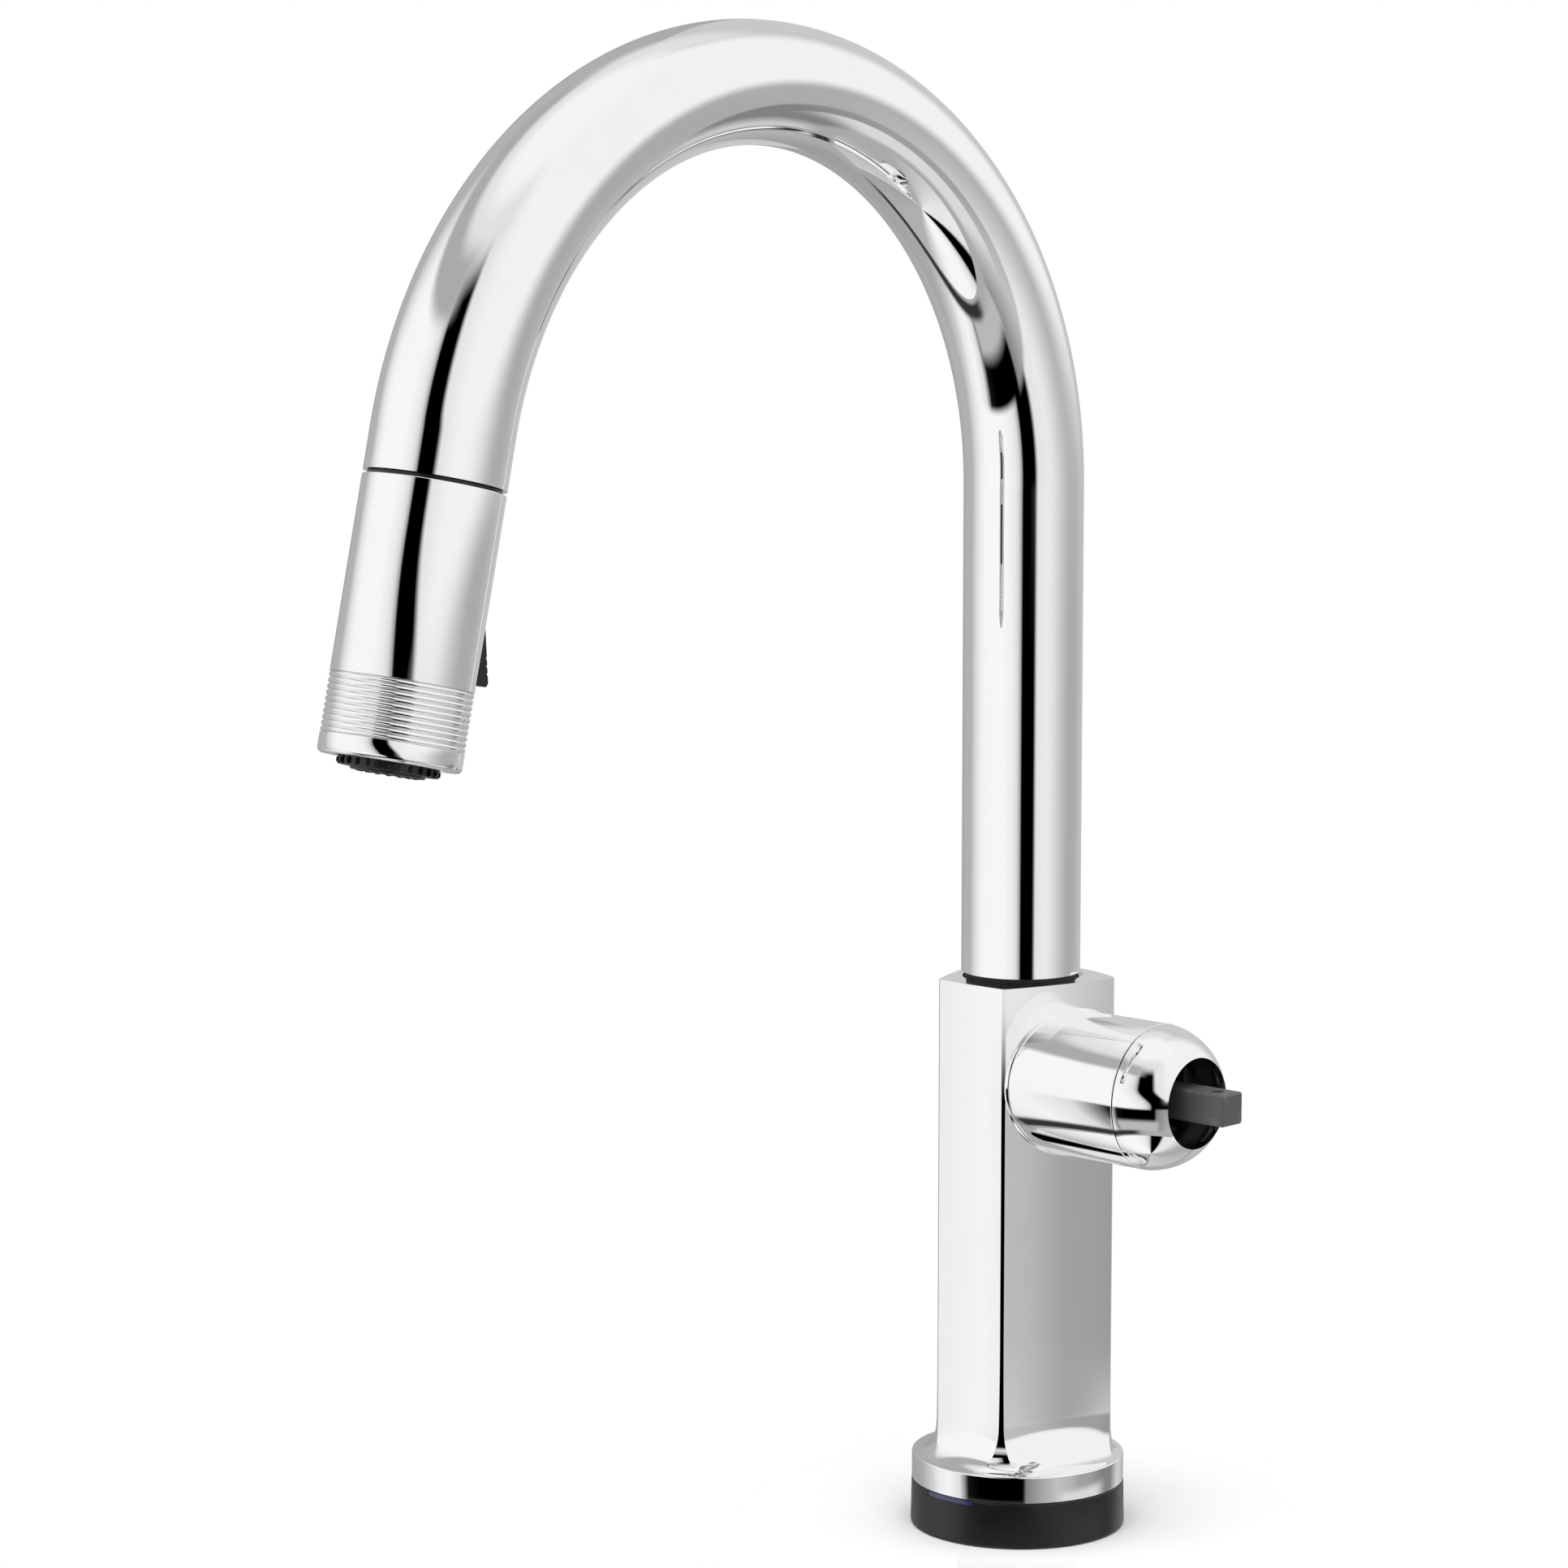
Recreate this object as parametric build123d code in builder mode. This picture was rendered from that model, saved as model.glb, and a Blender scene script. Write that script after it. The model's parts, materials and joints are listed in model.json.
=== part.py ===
from build123d import *
import os
from math import acos, asin, cos, pi, radians, sin, sqrt

# Pull-down kitchen faucet, in millimetres.
# Origin: centre of the base on the deck. +Z up, spout towards -Y, handle hub towards +X.

# ---------------------------------------------------------------- driving sizes
# base and column
flange_r = 28.8           # round foot of the column
foot_r = 29.1             # black ring where it meets the deck
base_ring_h = 12.4
flange_band_h = 7.5
flare_h = 12.1            # strong concave flare above the flange
gentle_h = 21.0           # gentle flare above that
flare_sink = 0.15         # the flare ends this far inside the flange
rim_share = 0.94
column_top = 151.0
front_half = 11.6         # half width of the flat front face
front_y = -20.2
back_half = 21.1
back_corner_y = 14.4
back_y = 19.4             # crown of the curved back
side_bulge = 1.4
front_bulge = 0.35
corner = 0.6              # small bevel on the four upright corners
gentle_share = 0.03       # how far the gentle flare goes towards the round foot
corner_growth = 6.5       # bevel growth as the section turns round

# handle hub
hub_z = 124.2
hub_r = 19.5
hub_wall = 2.0
hub_seam = 48.3           # where the domed cap starts
trim_t = 1.0
trim_step = 0.5           # trim ring stands this much proud of the hub
dome_swell = 0.1          # the cap is this much fuller than the hub
dome_back = 2.5           # centre of the dome sphere behind the seam
dome_wall = 2.0
skirt_wall = 1.7
dome_hole_r = 12.0
pivot_x = 50.0            # lever tilt axis
lever_half = 4.2          # half of the square lever stub
lever_end = 73.0
cartridge_r = 12.6
cartridge_len = 16.2
cavity_r = 9.8            # inside the cartridge

# spout
riser_r = 16.0
riser_gap = 1.5           # spout tube starts this far above the column
arc_start_z = 282.9
arc_r = 105.7
arc_sweep = 166.7
tail_len = 12.0
crown_squash = 0.93       # the bent tube is a little flatter at its crown
tube_wall = 1.5
bore_inset = 2.0          # the column's bore is this much smaller than the riser
bush_t = 0.8              # room for the bushings round the insert
glide_t = 1.6             # the glide ring's seat is this much wider than the bore
countersink = 1.9         # polished cone round the riser's foot

# spray wand, measured along its own axis from the end of the spout
wand_r = 17.2
wand_gap = 1.0
wand_len = 67.2
wand_wall = 2.2
rib_start = 48.0
rib_end = 62.4
rib_count = 10
rib_depth = 0.6
tooth_ring_r = 12.4
tooth_ring_out = 2.0
tooth_count = 26
nozzle_disc_r = 9.0
nozzle_disc_out = 2.7
nozzle_out = 0.2          # soft nozzles beyond their disc
button_half = 6.0
button_top = 28.5
button_end = 45.6
button_proud = 4.7
button_press = 7.0        # degrees the rocker button turns

# under the deck
shank_r = 16.5            # for a 35 mm deck hole
shank_wall = 3.0
shank_drop = 52.0
deck_t = 30.0

# fits and clearances
snug = 0.05               # pieces that are fixed together
running = 0.05            # radial running fit
free = 0.3                # moving pieces that do not touch

# ---------------------------------------------------------------- derived sizes
flange_top = base_ring_h + flange_band_h
flare_top = flange_top + flare_h
straight_z = flare_top + gentle_h
spout_z = column_top + riser_gap
spout_end_r = wand_r      # the wand carries on the line of the spout
tube_bore = riser_r - tube_wall
bore_r = riser_r - bore_inset
insert_r = bore_r - bush_t
end_bore = spout_end_r - tube_wall
arc_centre_y = -arc_r
bend = radians(arc_sweep)
arc_end = Vector(0, arc_centre_y + arc_r * cos(bend), arc_start_z + arc_r * sin(bend))
outlet = Vector(0, -sin(bend), cos(bend))          # the way the wand points
spout_end = arc_end + outlet * tail_len
hub_bore = hub_r - hub_wall
dome_r = hub_r + dome_swell
dome_x = hub_seam - dome_back
opening_x = dome_x + sqrt(dome_r**2 - dome_hole_r**2)
hub_axis = Axis((0, 0, hub_z), (1, 0, 0))
hub_plane = Plane(origin=(0, 0, hub_z), x_dir=(1, 0, 0), z_dir=(0, -1, 0))
hub_face = Plane(origin=(0, 0, hub_z), x_dir=(0, 1, 0), z_dir=(1, 0, 0))
wand_axis = Axis(spout_end, outlet)
wand_plane = Plane(origin=spout_end, x_dir=(1, 0, 0), z_dir=(0, -outlet.Z, outlet.Y))
wand_cross = Plane(origin=spout_end, x_dir=(1, 0, 0), z_dir=outlet)

# circle that the column's convex side faces follow
side_chord = Vector(back_half - front_half, back_corner_y - front_y, 0)
side_half = side_chord.length / 2
side_r = (side_half**2 + side_bulge**2) / (2 * side_bulge)
side_mid = Vector((front_half + back_half) / 2, (front_y + back_corner_y) / 2, 0)
side_out = Vector(side_chord.Y, -side_chord.X, 0).normalized()
side_centre = side_mid - side_out * (side_r - side_bulge)
side_x = side_centre.X + sqrt(side_r**2 - side_centre.Y**2)     # side face at y = 0


# ---------------------------------------------------------------- helpers
def turned(plane, axis, outline, mode=Mode.ADD):
    """Turn a closed outline of points round an axis."""
    with BuildSketch(plane) as section:
        with BuildLine():
            Polyline(*outline, close=True)
        make_face()
    revolve(section.sketch, axis=axis, mode=mode)


def sleeve(plane, axis, inner, outer, low, high, along_x=False, mode=Mode.ADD):
    """A plain ring or tube; along_x when the plane's own X is the turning axis."""
    outline = [(inner, low), (outer, low), (outer, high), (inner, high)]
    if along_x:
        outline = [(b, a) for a, b in outline]
    turned(plane, axis, outline, mode)


def upright(inner, outer, low, high, mode=Mode.ADD):
    sleeve(Plane.XZ, Axis.Z, inner, outer, low, high, mode=mode)


def hub_ring(inner, outer, low, high, mode=Mode.ADD):
    sleeve(hub_plane, hub_axis, inner, outer, low, high, along_x=True, mode=mode)


def wand_ring(inner, outer, low, high, mode=Mode.ADD):
    sleeve(wand_plane, wand_axis, inner, outer, low, high, mode=mode)


def column_section(share):
    """Arcs of the column's section; share 0 is the keystone plan, 1 the round foot."""
    bevel = corner + corner_growth * share
    corners = [Vector(-front_half, front_y), Vector(front_half, front_y),
               Vector(back_half, back_corner_y), Vector(-back_half, back_corner_y)]
    bulges = [front_bulge, side_bulge, back_y - back_corner_y, side_bulge]
    points = []
    for i, start in enumerate(corners):
        end = corners[(i + 1) % 4]
        along = (end - start).normalized()
        out = Vector(along.Y, -along.X)
        half = (end - start).length / 2
        radius = (half**2 + bulges[i] ** 2) / (2 * bulges[i])
        centre = (start + end) * 0.5 - out * (radius - bulges[i])
        rise = sqrt(radius**2 - (half - bevel) ** 2)
        first = centre - along * (half - bevel) + out * rise
        last = centre + along * (half - bevel) + out * rise
        points += [first, centre + out * radius, last]
    vertices = []
    for i in range(4):
        first, middle, last = points[3 * i : 3 * i + 3]
        following = points[(3 * i + 3) % 12]
        chord = following - last
        bevel_mid = (last + following) * 0.5 + Vector(chord.Y, -chord.X) * 0.06
        vertices += [(first, middle), (last, bevel_mid)]

    def spread(point):
        rounded = point.normalized() * flange_r
        blended = point * (1 - share) + rounded * share
        return (blended.X, blended.Y)

    arcs = []
    for i, (start, middle) in enumerate(vertices):
        end = vertices[(i + 1) % len(vertices)][0]
        arcs.append((spread(start), spread(middle), spread(end)))
    return arcs


# ---------------------------------------------------------------- base and column
shank_top = base_ring_h + 2.0
spigot_r = flange_r - 5.2
spigot_low = 2.5
rim_bevel = 0.5
shank_neck_r = shank_r - 1.5        # the part screwed into the column

# cast column: keystone plan, concave flare, round flange and a spigot below it
port_spots = [(-3.6, 2.2), (3.6, 2.2), (0, -4.4)]      # y, z from the hub's axis
port_r = 2.6
screw_ring_r = cartridge_r - 3.3
screw_r = 1.75
screw_head_r = 2.8
screw_head_t = 2.2
flare_steps = [(flare_top + gentle_h * s, gentle_share * (1 - s) ** 2)
               for s in (1, 0.75, 0.5, 0.25, 0)]
for step in range(1, 7):
    angle = radians(90 * step / 6)
    height = flange_top + flare_h - (flare_h + flare_sink) * sin(angle)
    flare_steps.append((height, gentle_share + (rim_share - gentle_share) * (1 - cos(angle))))

with BuildPart() as column_body:
    with BuildSketch(Plane.XY.offset(straight_z)):
        with BuildLine():
            for arc in column_section(0):
                ThreePointArc(*arc)
        make_face()
    extrude(amount=column_top - straight_z)
    for height, share in flare_steps:
        with BuildSketch(Plane.XY.offset(height)):
            with BuildLine():
                for arc in column_section(share):
                    ThreePointArc(*arc)
            make_face()
    loft()
    turned(Plane.XZ, Axis.Z, [
        (0, spigot_low), (spigot_r, spigot_low), (spigot_r, base_ring_h), (flange_r, base_ring_h),
        (flange_r, flange_top - rim_bevel), (flange_r - rim_bevel, flange_top), (0, flange_top)])
    upright(0, bore_r, -1, column_top + 1, mode=Mode.SUBTRACT)
    upright(0, shank_neck_r + snug, -1, shank_top, mode=Mode.SUBTRACT)
    glide_r = bore_r + glide_t
    turned(Plane.XZ, Axis.Z, [
        (0, column_top - 1.2), (glide_r + snug, column_top - 1.2),
        (glide_r + snug, column_top - 0.9), (glide_r + countersink, column_top), (0, column_top)],
        mode=Mode.SUBTRACT)
    # water ports and valve screws through the side wall
    with BuildSketch(hub_face):
        with Locations(*port_spots):
            Circle(port_r + snug)
    extrude(amount=side_x + 5, mode=Mode.SUBTRACT)
    with BuildSketch(hub_face):
        with PolarLocations(screw_ring_r, 3, start_angle=90):
            Circle(screw_r)
    extrude(amount=side_x + 5, mode=Mode.SUBTRACT)
    # threaded hole for the spout's retaining screw, from the back
    retain_z = spout_z - 12.0
    with BuildSketch(Plane(origin=(0, 0, retain_z), x_dir=(1, 0, 0), z_dir=(0, 1, 0))):
        Circle(2.5)
    extrude(amount=back_y + 1, mode=Mode.SUBTRACT)

# black ring that the column stands on, with a window for the sensor light
window_half = 16.0
window_h = 1.4
window_depth = 1.6
lens_in = flange_r - window_depth
with BuildPart() as base_ring:
    with BuildSketch(Plane.XZ):
        with BuildLine():
            Polyline((spigot_r + snug, 0), (foot_r - 0.9, 0))
            ThreePointArc((foot_r - 0.9, 0), (foot_r - 0.26, 0.26), (foot_r, 0.9))
            Line((foot_r, 0.9), (flange_r + 0.05, base_ring_h - 0.4))
            Line((flange_r + 0.05, base_ring_h - 0.4), (flange_r - 0.3, base_ring_h))
            Line((flange_r - 0.3, base_ring_h), (spigot_r + snug, base_ring_h))
            Line((spigot_r + snug, base_ring_h), (spigot_r + snug, 0))
        make_face()
    revolve(axis=Axis.Z)
    with BuildSketch(Plane.XY.offset(base_ring_h - window_h)):
        with BuildLine():
            CenterArc((0, 0), foot_r + 1, 270 - window_half, 2 * window_half)
            CenterArc((0, 0), lens_in, 270 - window_half, 2 * window_half)
            for side in (-1, 1):
                turn = radians(270 + side * window_half)
                Line((lens_in * cos(turn), lens_in * sin(turn)),
                     ((foot_r + 1) * cos(turn), (foot_r + 1) * sin(turn)))
        make_face()
    extrude(amount=window_h, mode=Mode.SUBTRACT)
    # pocket for the light board behind the window
    board_half = 7.0
    with BuildSketch(Plane.XY.offset(base_ring_h - 7)):
        with Locations((0, -(spigot_r + 1.6))):
            Rectangle(2 * board_half, 2.0)
    extrude(amount=7, mode=Mode.SUBTRACT)
    # groove for the deck seal
    upright(spigot_r + 1.4, spigot_r + 3.6, 0, 1.6, mode=Mode.SUBTRACT)

with BuildPart() as indicator_lens:
    with BuildSketch(Plane.XY.offset(base_ring_h - window_h + snug)):
        with BuildLine():
            lens_turn = window_half - 0.2
            lens_out = flange_r - 0.1
            CenterArc((0, 0), lens_out, 270 - lens_turn, 2 * lens_turn)
            CenterArc((0, 0), lens_in + snug, 270 - lens_turn, 2 * lens_turn)
            for side in (-1, 1):
                turn = radians(270 + side * lens_turn)
                Line(((lens_in + snug) * cos(turn), (lens_in + snug) * sin(turn)),
                     (lens_out * cos(turn), lens_out * sin(turn)))
        make_face()
    extrude(amount=window_h - 2 * snug)

with BuildPart() as light_board:
    with BuildSketch(Plane.XY.offset(base_ring_h - 6.9)):
        with Locations((0, -(spigot_r + 1.6))):
            Rectangle(2 * board_half - 0.4, 1.2)
    extrude(amount=5.2)

with BuildPart() as deck_seal:
    upright(spigot_r + 1.4 + snug, spigot_r + 3.6 - snug, 0, 1.6 - snug)

# ---------------------------------------------------------------- under the deck
with BuildPart() as mounting_shank:
    shank_bore = shank_r - shank_wall
    turned(Plane.XZ, Axis.Z, [
        (shank_bore, shank_top - snug), (shank_neck_r, shank_top - snug),
        (shank_neck_r, spigot_low - snug), (shank_r, spigot_low - snug),
        (shank_r, 1 - shank_drop), (shank_r - 1, -shank_drop), (shank_bore, -shank_drop)])

washer_r = shank_r + 10.0
nut_r = shank_r + 4.5
with BuildPart() as rubber_washer:
    upright(shank_r + 0.4, washer_r, -deck_t - 3, -deck_t)

with BuildPart() as steel_washer:
    upright(shank_r + 0.4, washer_r, -deck_t - 4.5, -deck_t - 3)

clamp_ring_r = shank_r + 7.0
with BuildPart() as mounting_nut:
    upright(shank_r + snug, nut_r, -deck_t - 15, -deck_t - 4.5 - snug)
    with BuildSketch(Plane.XY.offset(-deck_t - 10)):
        Circle(clamp_ring_r + 3.4)
        Circle(nut_r - 1, mode=Mode.SUBTRACT)
        with PolarLocations(clamp_ring_r, 2):
            Circle(2.5 + snug, mode=Mode.SUBTRACT)
    extrude(amount=4)
    with BuildSketch(Plane.XY.offset(-deck_t - 14)):
        with PolarLocations(nut_r + 3.0, 4, start_angle=45):
            Rectangle(7.5, 3.2)
    extrude(amount=6)

with BuildPart() as clamp_screws:
    with BuildSketch(Plane.XY.offset(-deck_t - 20)):
        with PolarLocations(clamp_ring_r, 2):
            Circle(2.5)
    extrude(amount=20 - 4.5 - snug)
    with BuildSketch(Plane.XY.offset(-deck_t - 24)):
        with PolarLocations(clamp_ring_r, 2):
            Circle(4.2)
        with PolarLocations(clamp_ring_r, 2):
            RegularPolygon(2.2, 6, mode=Mode.SUBTRACT)
    extrude(amount=4)

# ---------------------------------------------------------------- handle hub
def cut_column_side(extra):
    """Cut away what lies inside the column's convex side face, grown by extra."""
    with BuildSketch(Plane.XY.offset(hub_z - 2 * hub_r)) as side:
        with Locations((side_centre.X, side_centre.Y)):
            Circle(side_r + extra)
    extrude(side.sketch, amount=4 * hub_r, mode=Mode.SUBTRACT)


with BuildPart() as hub_trim:
    hub_ring(hub_bore, hub_r + trim_step, front_half - 6, hub_seam)
    cut_column_side(0)
    with BuildSketch(Plane.XY.offset(hub_z - 2 * hub_r)):
        with Locations((side_centre.X, side_centre.Y)):
            Circle(side_r + trim_t)
    extrude(amount=4 * hub_r, mode=Mode.INTERSECT)

with BuildPart() as hub_sleeve:
    hub_ring(hub_bore, hub_r, front_half - 6, hub_seam - 0.3)
    cut_column_side(trim_t)

# The skirt's bore runs on into the shell, up to where it meets the inside of the dome.
skirt_r = hub_bore - snug
skirt_in = skirt_r - skirt_wall
skirt_start = hub_seam - 6.5
with BuildPart() as dome_cap:
    dome_in = dome_r - dome_wall
    mouth_r = dome_hole_r
    with BuildSketch(hub_plane):
        with BuildLine():
            seam_r = sqrt(dome_r**2 - dome_back**2)
            mouth_in_x = dome_x + sqrt(dome_in**2 - mouth_r**2)
            shell_in_x = dome_x + sqrt(dome_in**2 - skirt_in**2)
            out_turn = (asin(dome_back / dome_r) + acos(mouth_r / dome_r)) / 2
            in_turn = (acos(skirt_in / dome_in) + acos(mouth_r / dome_in)) / 2
            Line((shell_in_x, skirt_in), (skirt_start, skirt_in))
            Line((skirt_start, skirt_in), (skirt_start, skirt_r))
            Line((skirt_start, skirt_r), (hub_seam, skirt_r))
            Line((hub_seam, skirt_r), (hub_seam, seam_r))
            ThreePointArc((hub_seam, seam_r),
                          (dome_x + dome_r * sin(out_turn), dome_r * cos(out_turn)),
                          (opening_x, mouth_r))
            Line((opening_x, mouth_r), (mouth_in_x, mouth_r))
            ThreePointArc((mouth_in_x, mouth_r),
                          (dome_x + dome_in * sin(in_turn), dome_in * cos(in_turn)),
                          (shell_in_x, skirt_in))
        make_face()
    revolve(axis=hub_axis)

valve_r = hub_bore - 0.7
pocket_x = 24.0
seal_t = 1.0
cartridge_x = pocket_x + seal_t
cartridge_end = cartridge_x + cartridge_len
nut_bore_r = cartridge_r + 1.8
valve_end = skirt_start - 0.5
with BuildPart() as valve_body:
    hub_ring(0, valve_r, 0, valve_end)
    cut_column_side(0)
    hub_ring(0, cartridge_r + snug, pocket_x, valve_end + 1, mode=Mode.SUBTRACT)
    hub_ring(0, nut_bore_r, valve_end - 7, valve_end + 1, mode=Mode.SUBTRACT)
    with BuildSketch(hub_face):
        with Locations(*port_spots):
            Circle(port_r + snug)
    extrude(amount=pocket_x + 1, mode=Mode.SUBTRACT)
    with BuildSketch(hub_face.offset(pocket_x - screw_head_t)):
        with PolarLocations(screw_ring_r, 3, start_angle=90):
            Circle(screw_head_r + snug)
    extrude(amount=screw_head_t + 1, mode=Mode.SUBTRACT)
    with BuildSketch(hub_face):
        with PolarLocations(screw_ring_r, 3, start_angle=90):
            Circle(screw_r + snug)
    extrude(amount=pocket_x, mode=Mode.SUBTRACT)

with BuildPart() as valve_screws:
    with BuildSketch(hub_face.offset(bore_r + 0.4)):
        with PolarLocations(screw_ring_r, 3, start_angle=90):
            Circle(screw_r - snug)
    extrude(amount=pocket_x - screw_head_t - bore_r - 0.4)
    with BuildSketch(hub_face.offset(pocket_x - screw_head_t)):
        with PolarLocations(screw_ring_r, 3, start_angle=90):
            Circle(screw_head_r)
        with PolarLocations(screw_ring_r, 3, start_angle=90):
            RegularPolygon(1.3, 6, mode=Mode.SUBTRACT)
    extrude(amount=screw_head_t - snug)

with BuildPart() as port_nipples:
    with BuildSketch(hub_face.offset(bore_r - 6)):
        with Locations(*port_spots):
            Circle(port_r)
        with Locations(*port_spots):
            Circle(port_r - 1, mode=Mode.SUBTRACT)
    extrude(amount=pocket_x - bore_r + 6 - snug)

with BuildPart() as port_seal:
    with BuildSketch(hub_face.offset(pocket_x)):
        Circle(cartridge_r - 0.3)
        with Locations(*port_spots):
            Circle(port_r - 1, mode=Mode.SUBTRACT)
    extrude(amount=seal_t)

cavity_x = cartridge_x + 2.0
with BuildPart() as cartridge_housing:
    hub_ring(0, cartridge_r, cartridge_x, cartridge_end)
    hub_ring(0, cavity_r, cavity_x, cartridge_end + 1, mode=Mode.SUBTRACT)
    with BuildSketch(hub_face.offset(cartridge_x)):
        with Locations(*port_spots):
            Circle(port_r - 1)
    extrude(amount=3, mode=Mode.SUBTRACT)

disc_t = 2.5
with BuildPart() as fixed_disc:
    with BuildSketch(hub_face.offset(cavity_x)):
        Circle(cavity_r - snug)
        with Locations(*port_spots):
            Circle(port_r - 1.4, mode=Mode.SUBTRACT)
    extrude(amount=disc_t)

nut_in = cavity_r + 0.9
with BuildPart() as bonnet_nut:
    hub_ring(cartridge_r + 0.3, nut_bore_r - snug, valve_end - 6, cartridge_end)
    hub_ring(nut_in, nut_bore_r - snug, cartridge_end, cartridge_end + 5)
    with BuildSketch(hub_face.offset(cartridge_end + 3.4)):
        with PolarLocations((nut_in + nut_bore_r) / 2, 4):
            Rectangle(8, 2.4)
    extrude(amount=2, mode=Mode.SUBTRACT)

# ---------------------------------------------------------------- lever and what it turns
disc_x = cavity_x + disc_t + 0.1
disc_r = 5.0
foot_x = pivot_x - 12.0
slot_half = lever_half + 0.25
with BuildPart() as moving_disc:
    with BuildSketch(hub_face.offset(disc_x)):
        Circle(disc_r)
    extrude(amount=disc_t)

driver_x = disc_x + disc_t
foot_half = 2.6
with BuildPart() as disc_driver:
    with BuildSketch(hub_face.offset(driver_x)):
        Rectangle(2 * (lever_half - 0.2), 2 * (foot_half + 1.9))
    extrude(amount=foot_x + 1.4 - driver_x)
    with BuildSketch(hub_face.offset(foot_x - 2)):
        Rectangle(2 * (lever_half + 1), 2 * (foot_half + 1.0))
    extrude(amount=6, mode=Mode.SUBTRACT)

carrier_r = cavity_r - free
bridge_x = foot_x + 3.0
fork_end = pivot_x + 3.0
with BuildPart() as stem_carrier:
    hub_ring(0, carrier_r, driver_x + 0.4, fork_end)
    with BuildSketch(hub_face.offset(driver_x)):
        Rectangle(2 * slot_half, 3 * carrier_r)
    extrude(amount=bridge_x - driver_x, mode=Mode.SUBTRACT)
    with BuildSketch(hub_face.offset(bridge_x)):
        Rectangle(2 * slot_half, 2 * (carrier_r - 2.0))
    extrude(amount=5, mode=Mode.SUBTRACT)
    with BuildSketch(hub_face.offset(bridge_x + 4)):
        Rectangle(2 * slot_half, 3 * carrier_r)
    extrude(amount=20, mode=Mode.SUBTRACT)
    with BuildSketch(Plane.XZ.offset(-20)):
        with Locations((pivot_x, hub_z)):
            Circle(1.5)
    extrude(amount=40, mode=Mode.SUBTRACT)

with BuildPart() as lever_pin:
    with BuildSketch(Plane.XZ.offset(-(carrier_r - 1.4))):
        with Locations((pivot_x, hub_z)):
            Circle(1.5)
    extrude(amount=2 * (carrier_r - 1.4))

with BuildPart() as lever_stub:
    with BuildSketch(hub_face.offset(pivot_x - lever_half)):
        Rectangle(2 * lever_half, 2 * lever_half)
    extrude(amount=lever_end - pivot_x + lever_half)
    chamfer(lever_stub.edges().filter_by(Axis.X), length=0.45)
    chamfer(lever_stub.faces().sort_by(Axis.X)[-1].edges(), length=0.45)
    with BuildSketch(hub_face.offset(foot_x - 0.8)):
        Rectangle(2 * foot_half, 2 * foot_half)
    extrude(amount=pivot_x - foot_x)
    with BuildSketch(Plane.XZ.offset(-20)):
        with Locations((pivot_x, hub_z)):
            Circle(1.5 + running)
    extrude(amount=40, mode=Mode.SUBTRACT)
    # hole for the handle's set screw, from above
    set_screw_x = lever_end - 5.0
    set_screw_r = 1.6
    with BuildSketch(Plane.XY.offset(hub_z)):
        with Locations((set_screw_x, 0)):
            Circle(set_screw_r)
    extrude(amount=lever_half + 1, mode=Mode.SUBTRACT)

# ---------------------------------------------------------------- spout and its bearing
bush_r = insert_r + running
insert_low = spout_z - 22.0
bush_h = 3.0
with BuildPart() as lower_bushing:
    upright(bush_r, bore_r - 0.02, insert_low + 1, insert_low + 1 + bush_h)

with BuildPart() as upper_bushing:
    upright(bush_r, bore_r - 0.02, column_top - 1.2 - bush_h, column_top - 1.2)

with BuildPart() as glide_ring:
    upright(bush_r, glide_r, column_top - 1.2, spout_z - 0.15)

groove_r = insert_r - 1.3
with BuildPart() as spout_insert:
    turned(Plane.XZ, Axis.Z, [
        (9.0, insert_low), (insert_r - 0.4, insert_low), (insert_r, insert_low + 0.4),
        (insert_r, retain_z - 2.9), (groove_r, retain_z - 2.9),
        (groove_r, retain_z + 2.9), (insert_r, retain_z + 2.9),
        (insert_r, spout_z + 0.2), (tube_bore - snug, spout_z + 0.2),
        (tube_bore - snug, spout_z + 26), (9.0, spout_z + 26)])

with BuildPart() as retaining_screw:
    with BuildSketch(Plane(origin=(0, groove_r + free, retain_z), x_dir=(1, 0, 0), z_dir=(0, 1, 0))):
        Circle(2.5 - snug)
    extrude(amount=back_y - 0.8 - groove_r - free)
    with BuildSketch(Plane(origin=(0, back_y - 3.2, retain_z), x_dir=(1, 0, 0), z_dir=(0, 1, 0))):
        RegularPolygon(1.4, 6)
    extrude(amount=4, mode=Mode.SUBTRACT)

with BuildPart() as hose_guide:
    upright(7.9, 9.0 - snug, insert_low + 2, spout_z + 26)
    upright(7.9, 11.5, spout_z + 26, spout_z + 28)


def tube_outline(share):
    """Half widths of the bent tube: across the bend, and in its plane."""
    across = riser_r + (spout_end_r - riser_r) * share
    squash = 1 - (1 - crown_squash) * sin(share * pi)
    return across, across * squash


bend_sections = 13
with BuildPart() as spout_tube:
    for wall, mode in ((0, Mode.ADD), (tube_wall, Mode.SUBTRACT)):
        with BuildSketch(Plane.XY.offset(spout_z)):
            Circle(riser_r - wall)
        extrude(amount=arc_start_z - spout_z, mode=mode)
        for section_no in range(bend_sections):
            share = section_no / (bend_sections - 1)
            turn = bend * share
            across, inward = tube_outline(share)
            where = (0, arc_centre_y + arc_r * cos(turn), arc_start_z + arc_r * sin(turn))
            with BuildSketch(Plane(origin=where, x_dir=(1, 0, 0), z_dir=(0, -sin(turn), cos(turn)))):
                Ellipse(across - wall, inward - wall)
        loft(mode=mode)
        with BuildSketch(Plane(origin=arc_end, x_dir=(1, 0, 0), z_dir=outlet)):
            Circle(spout_end_r - wall)
        extrude(amount=tail_len, mode=mode)

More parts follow.
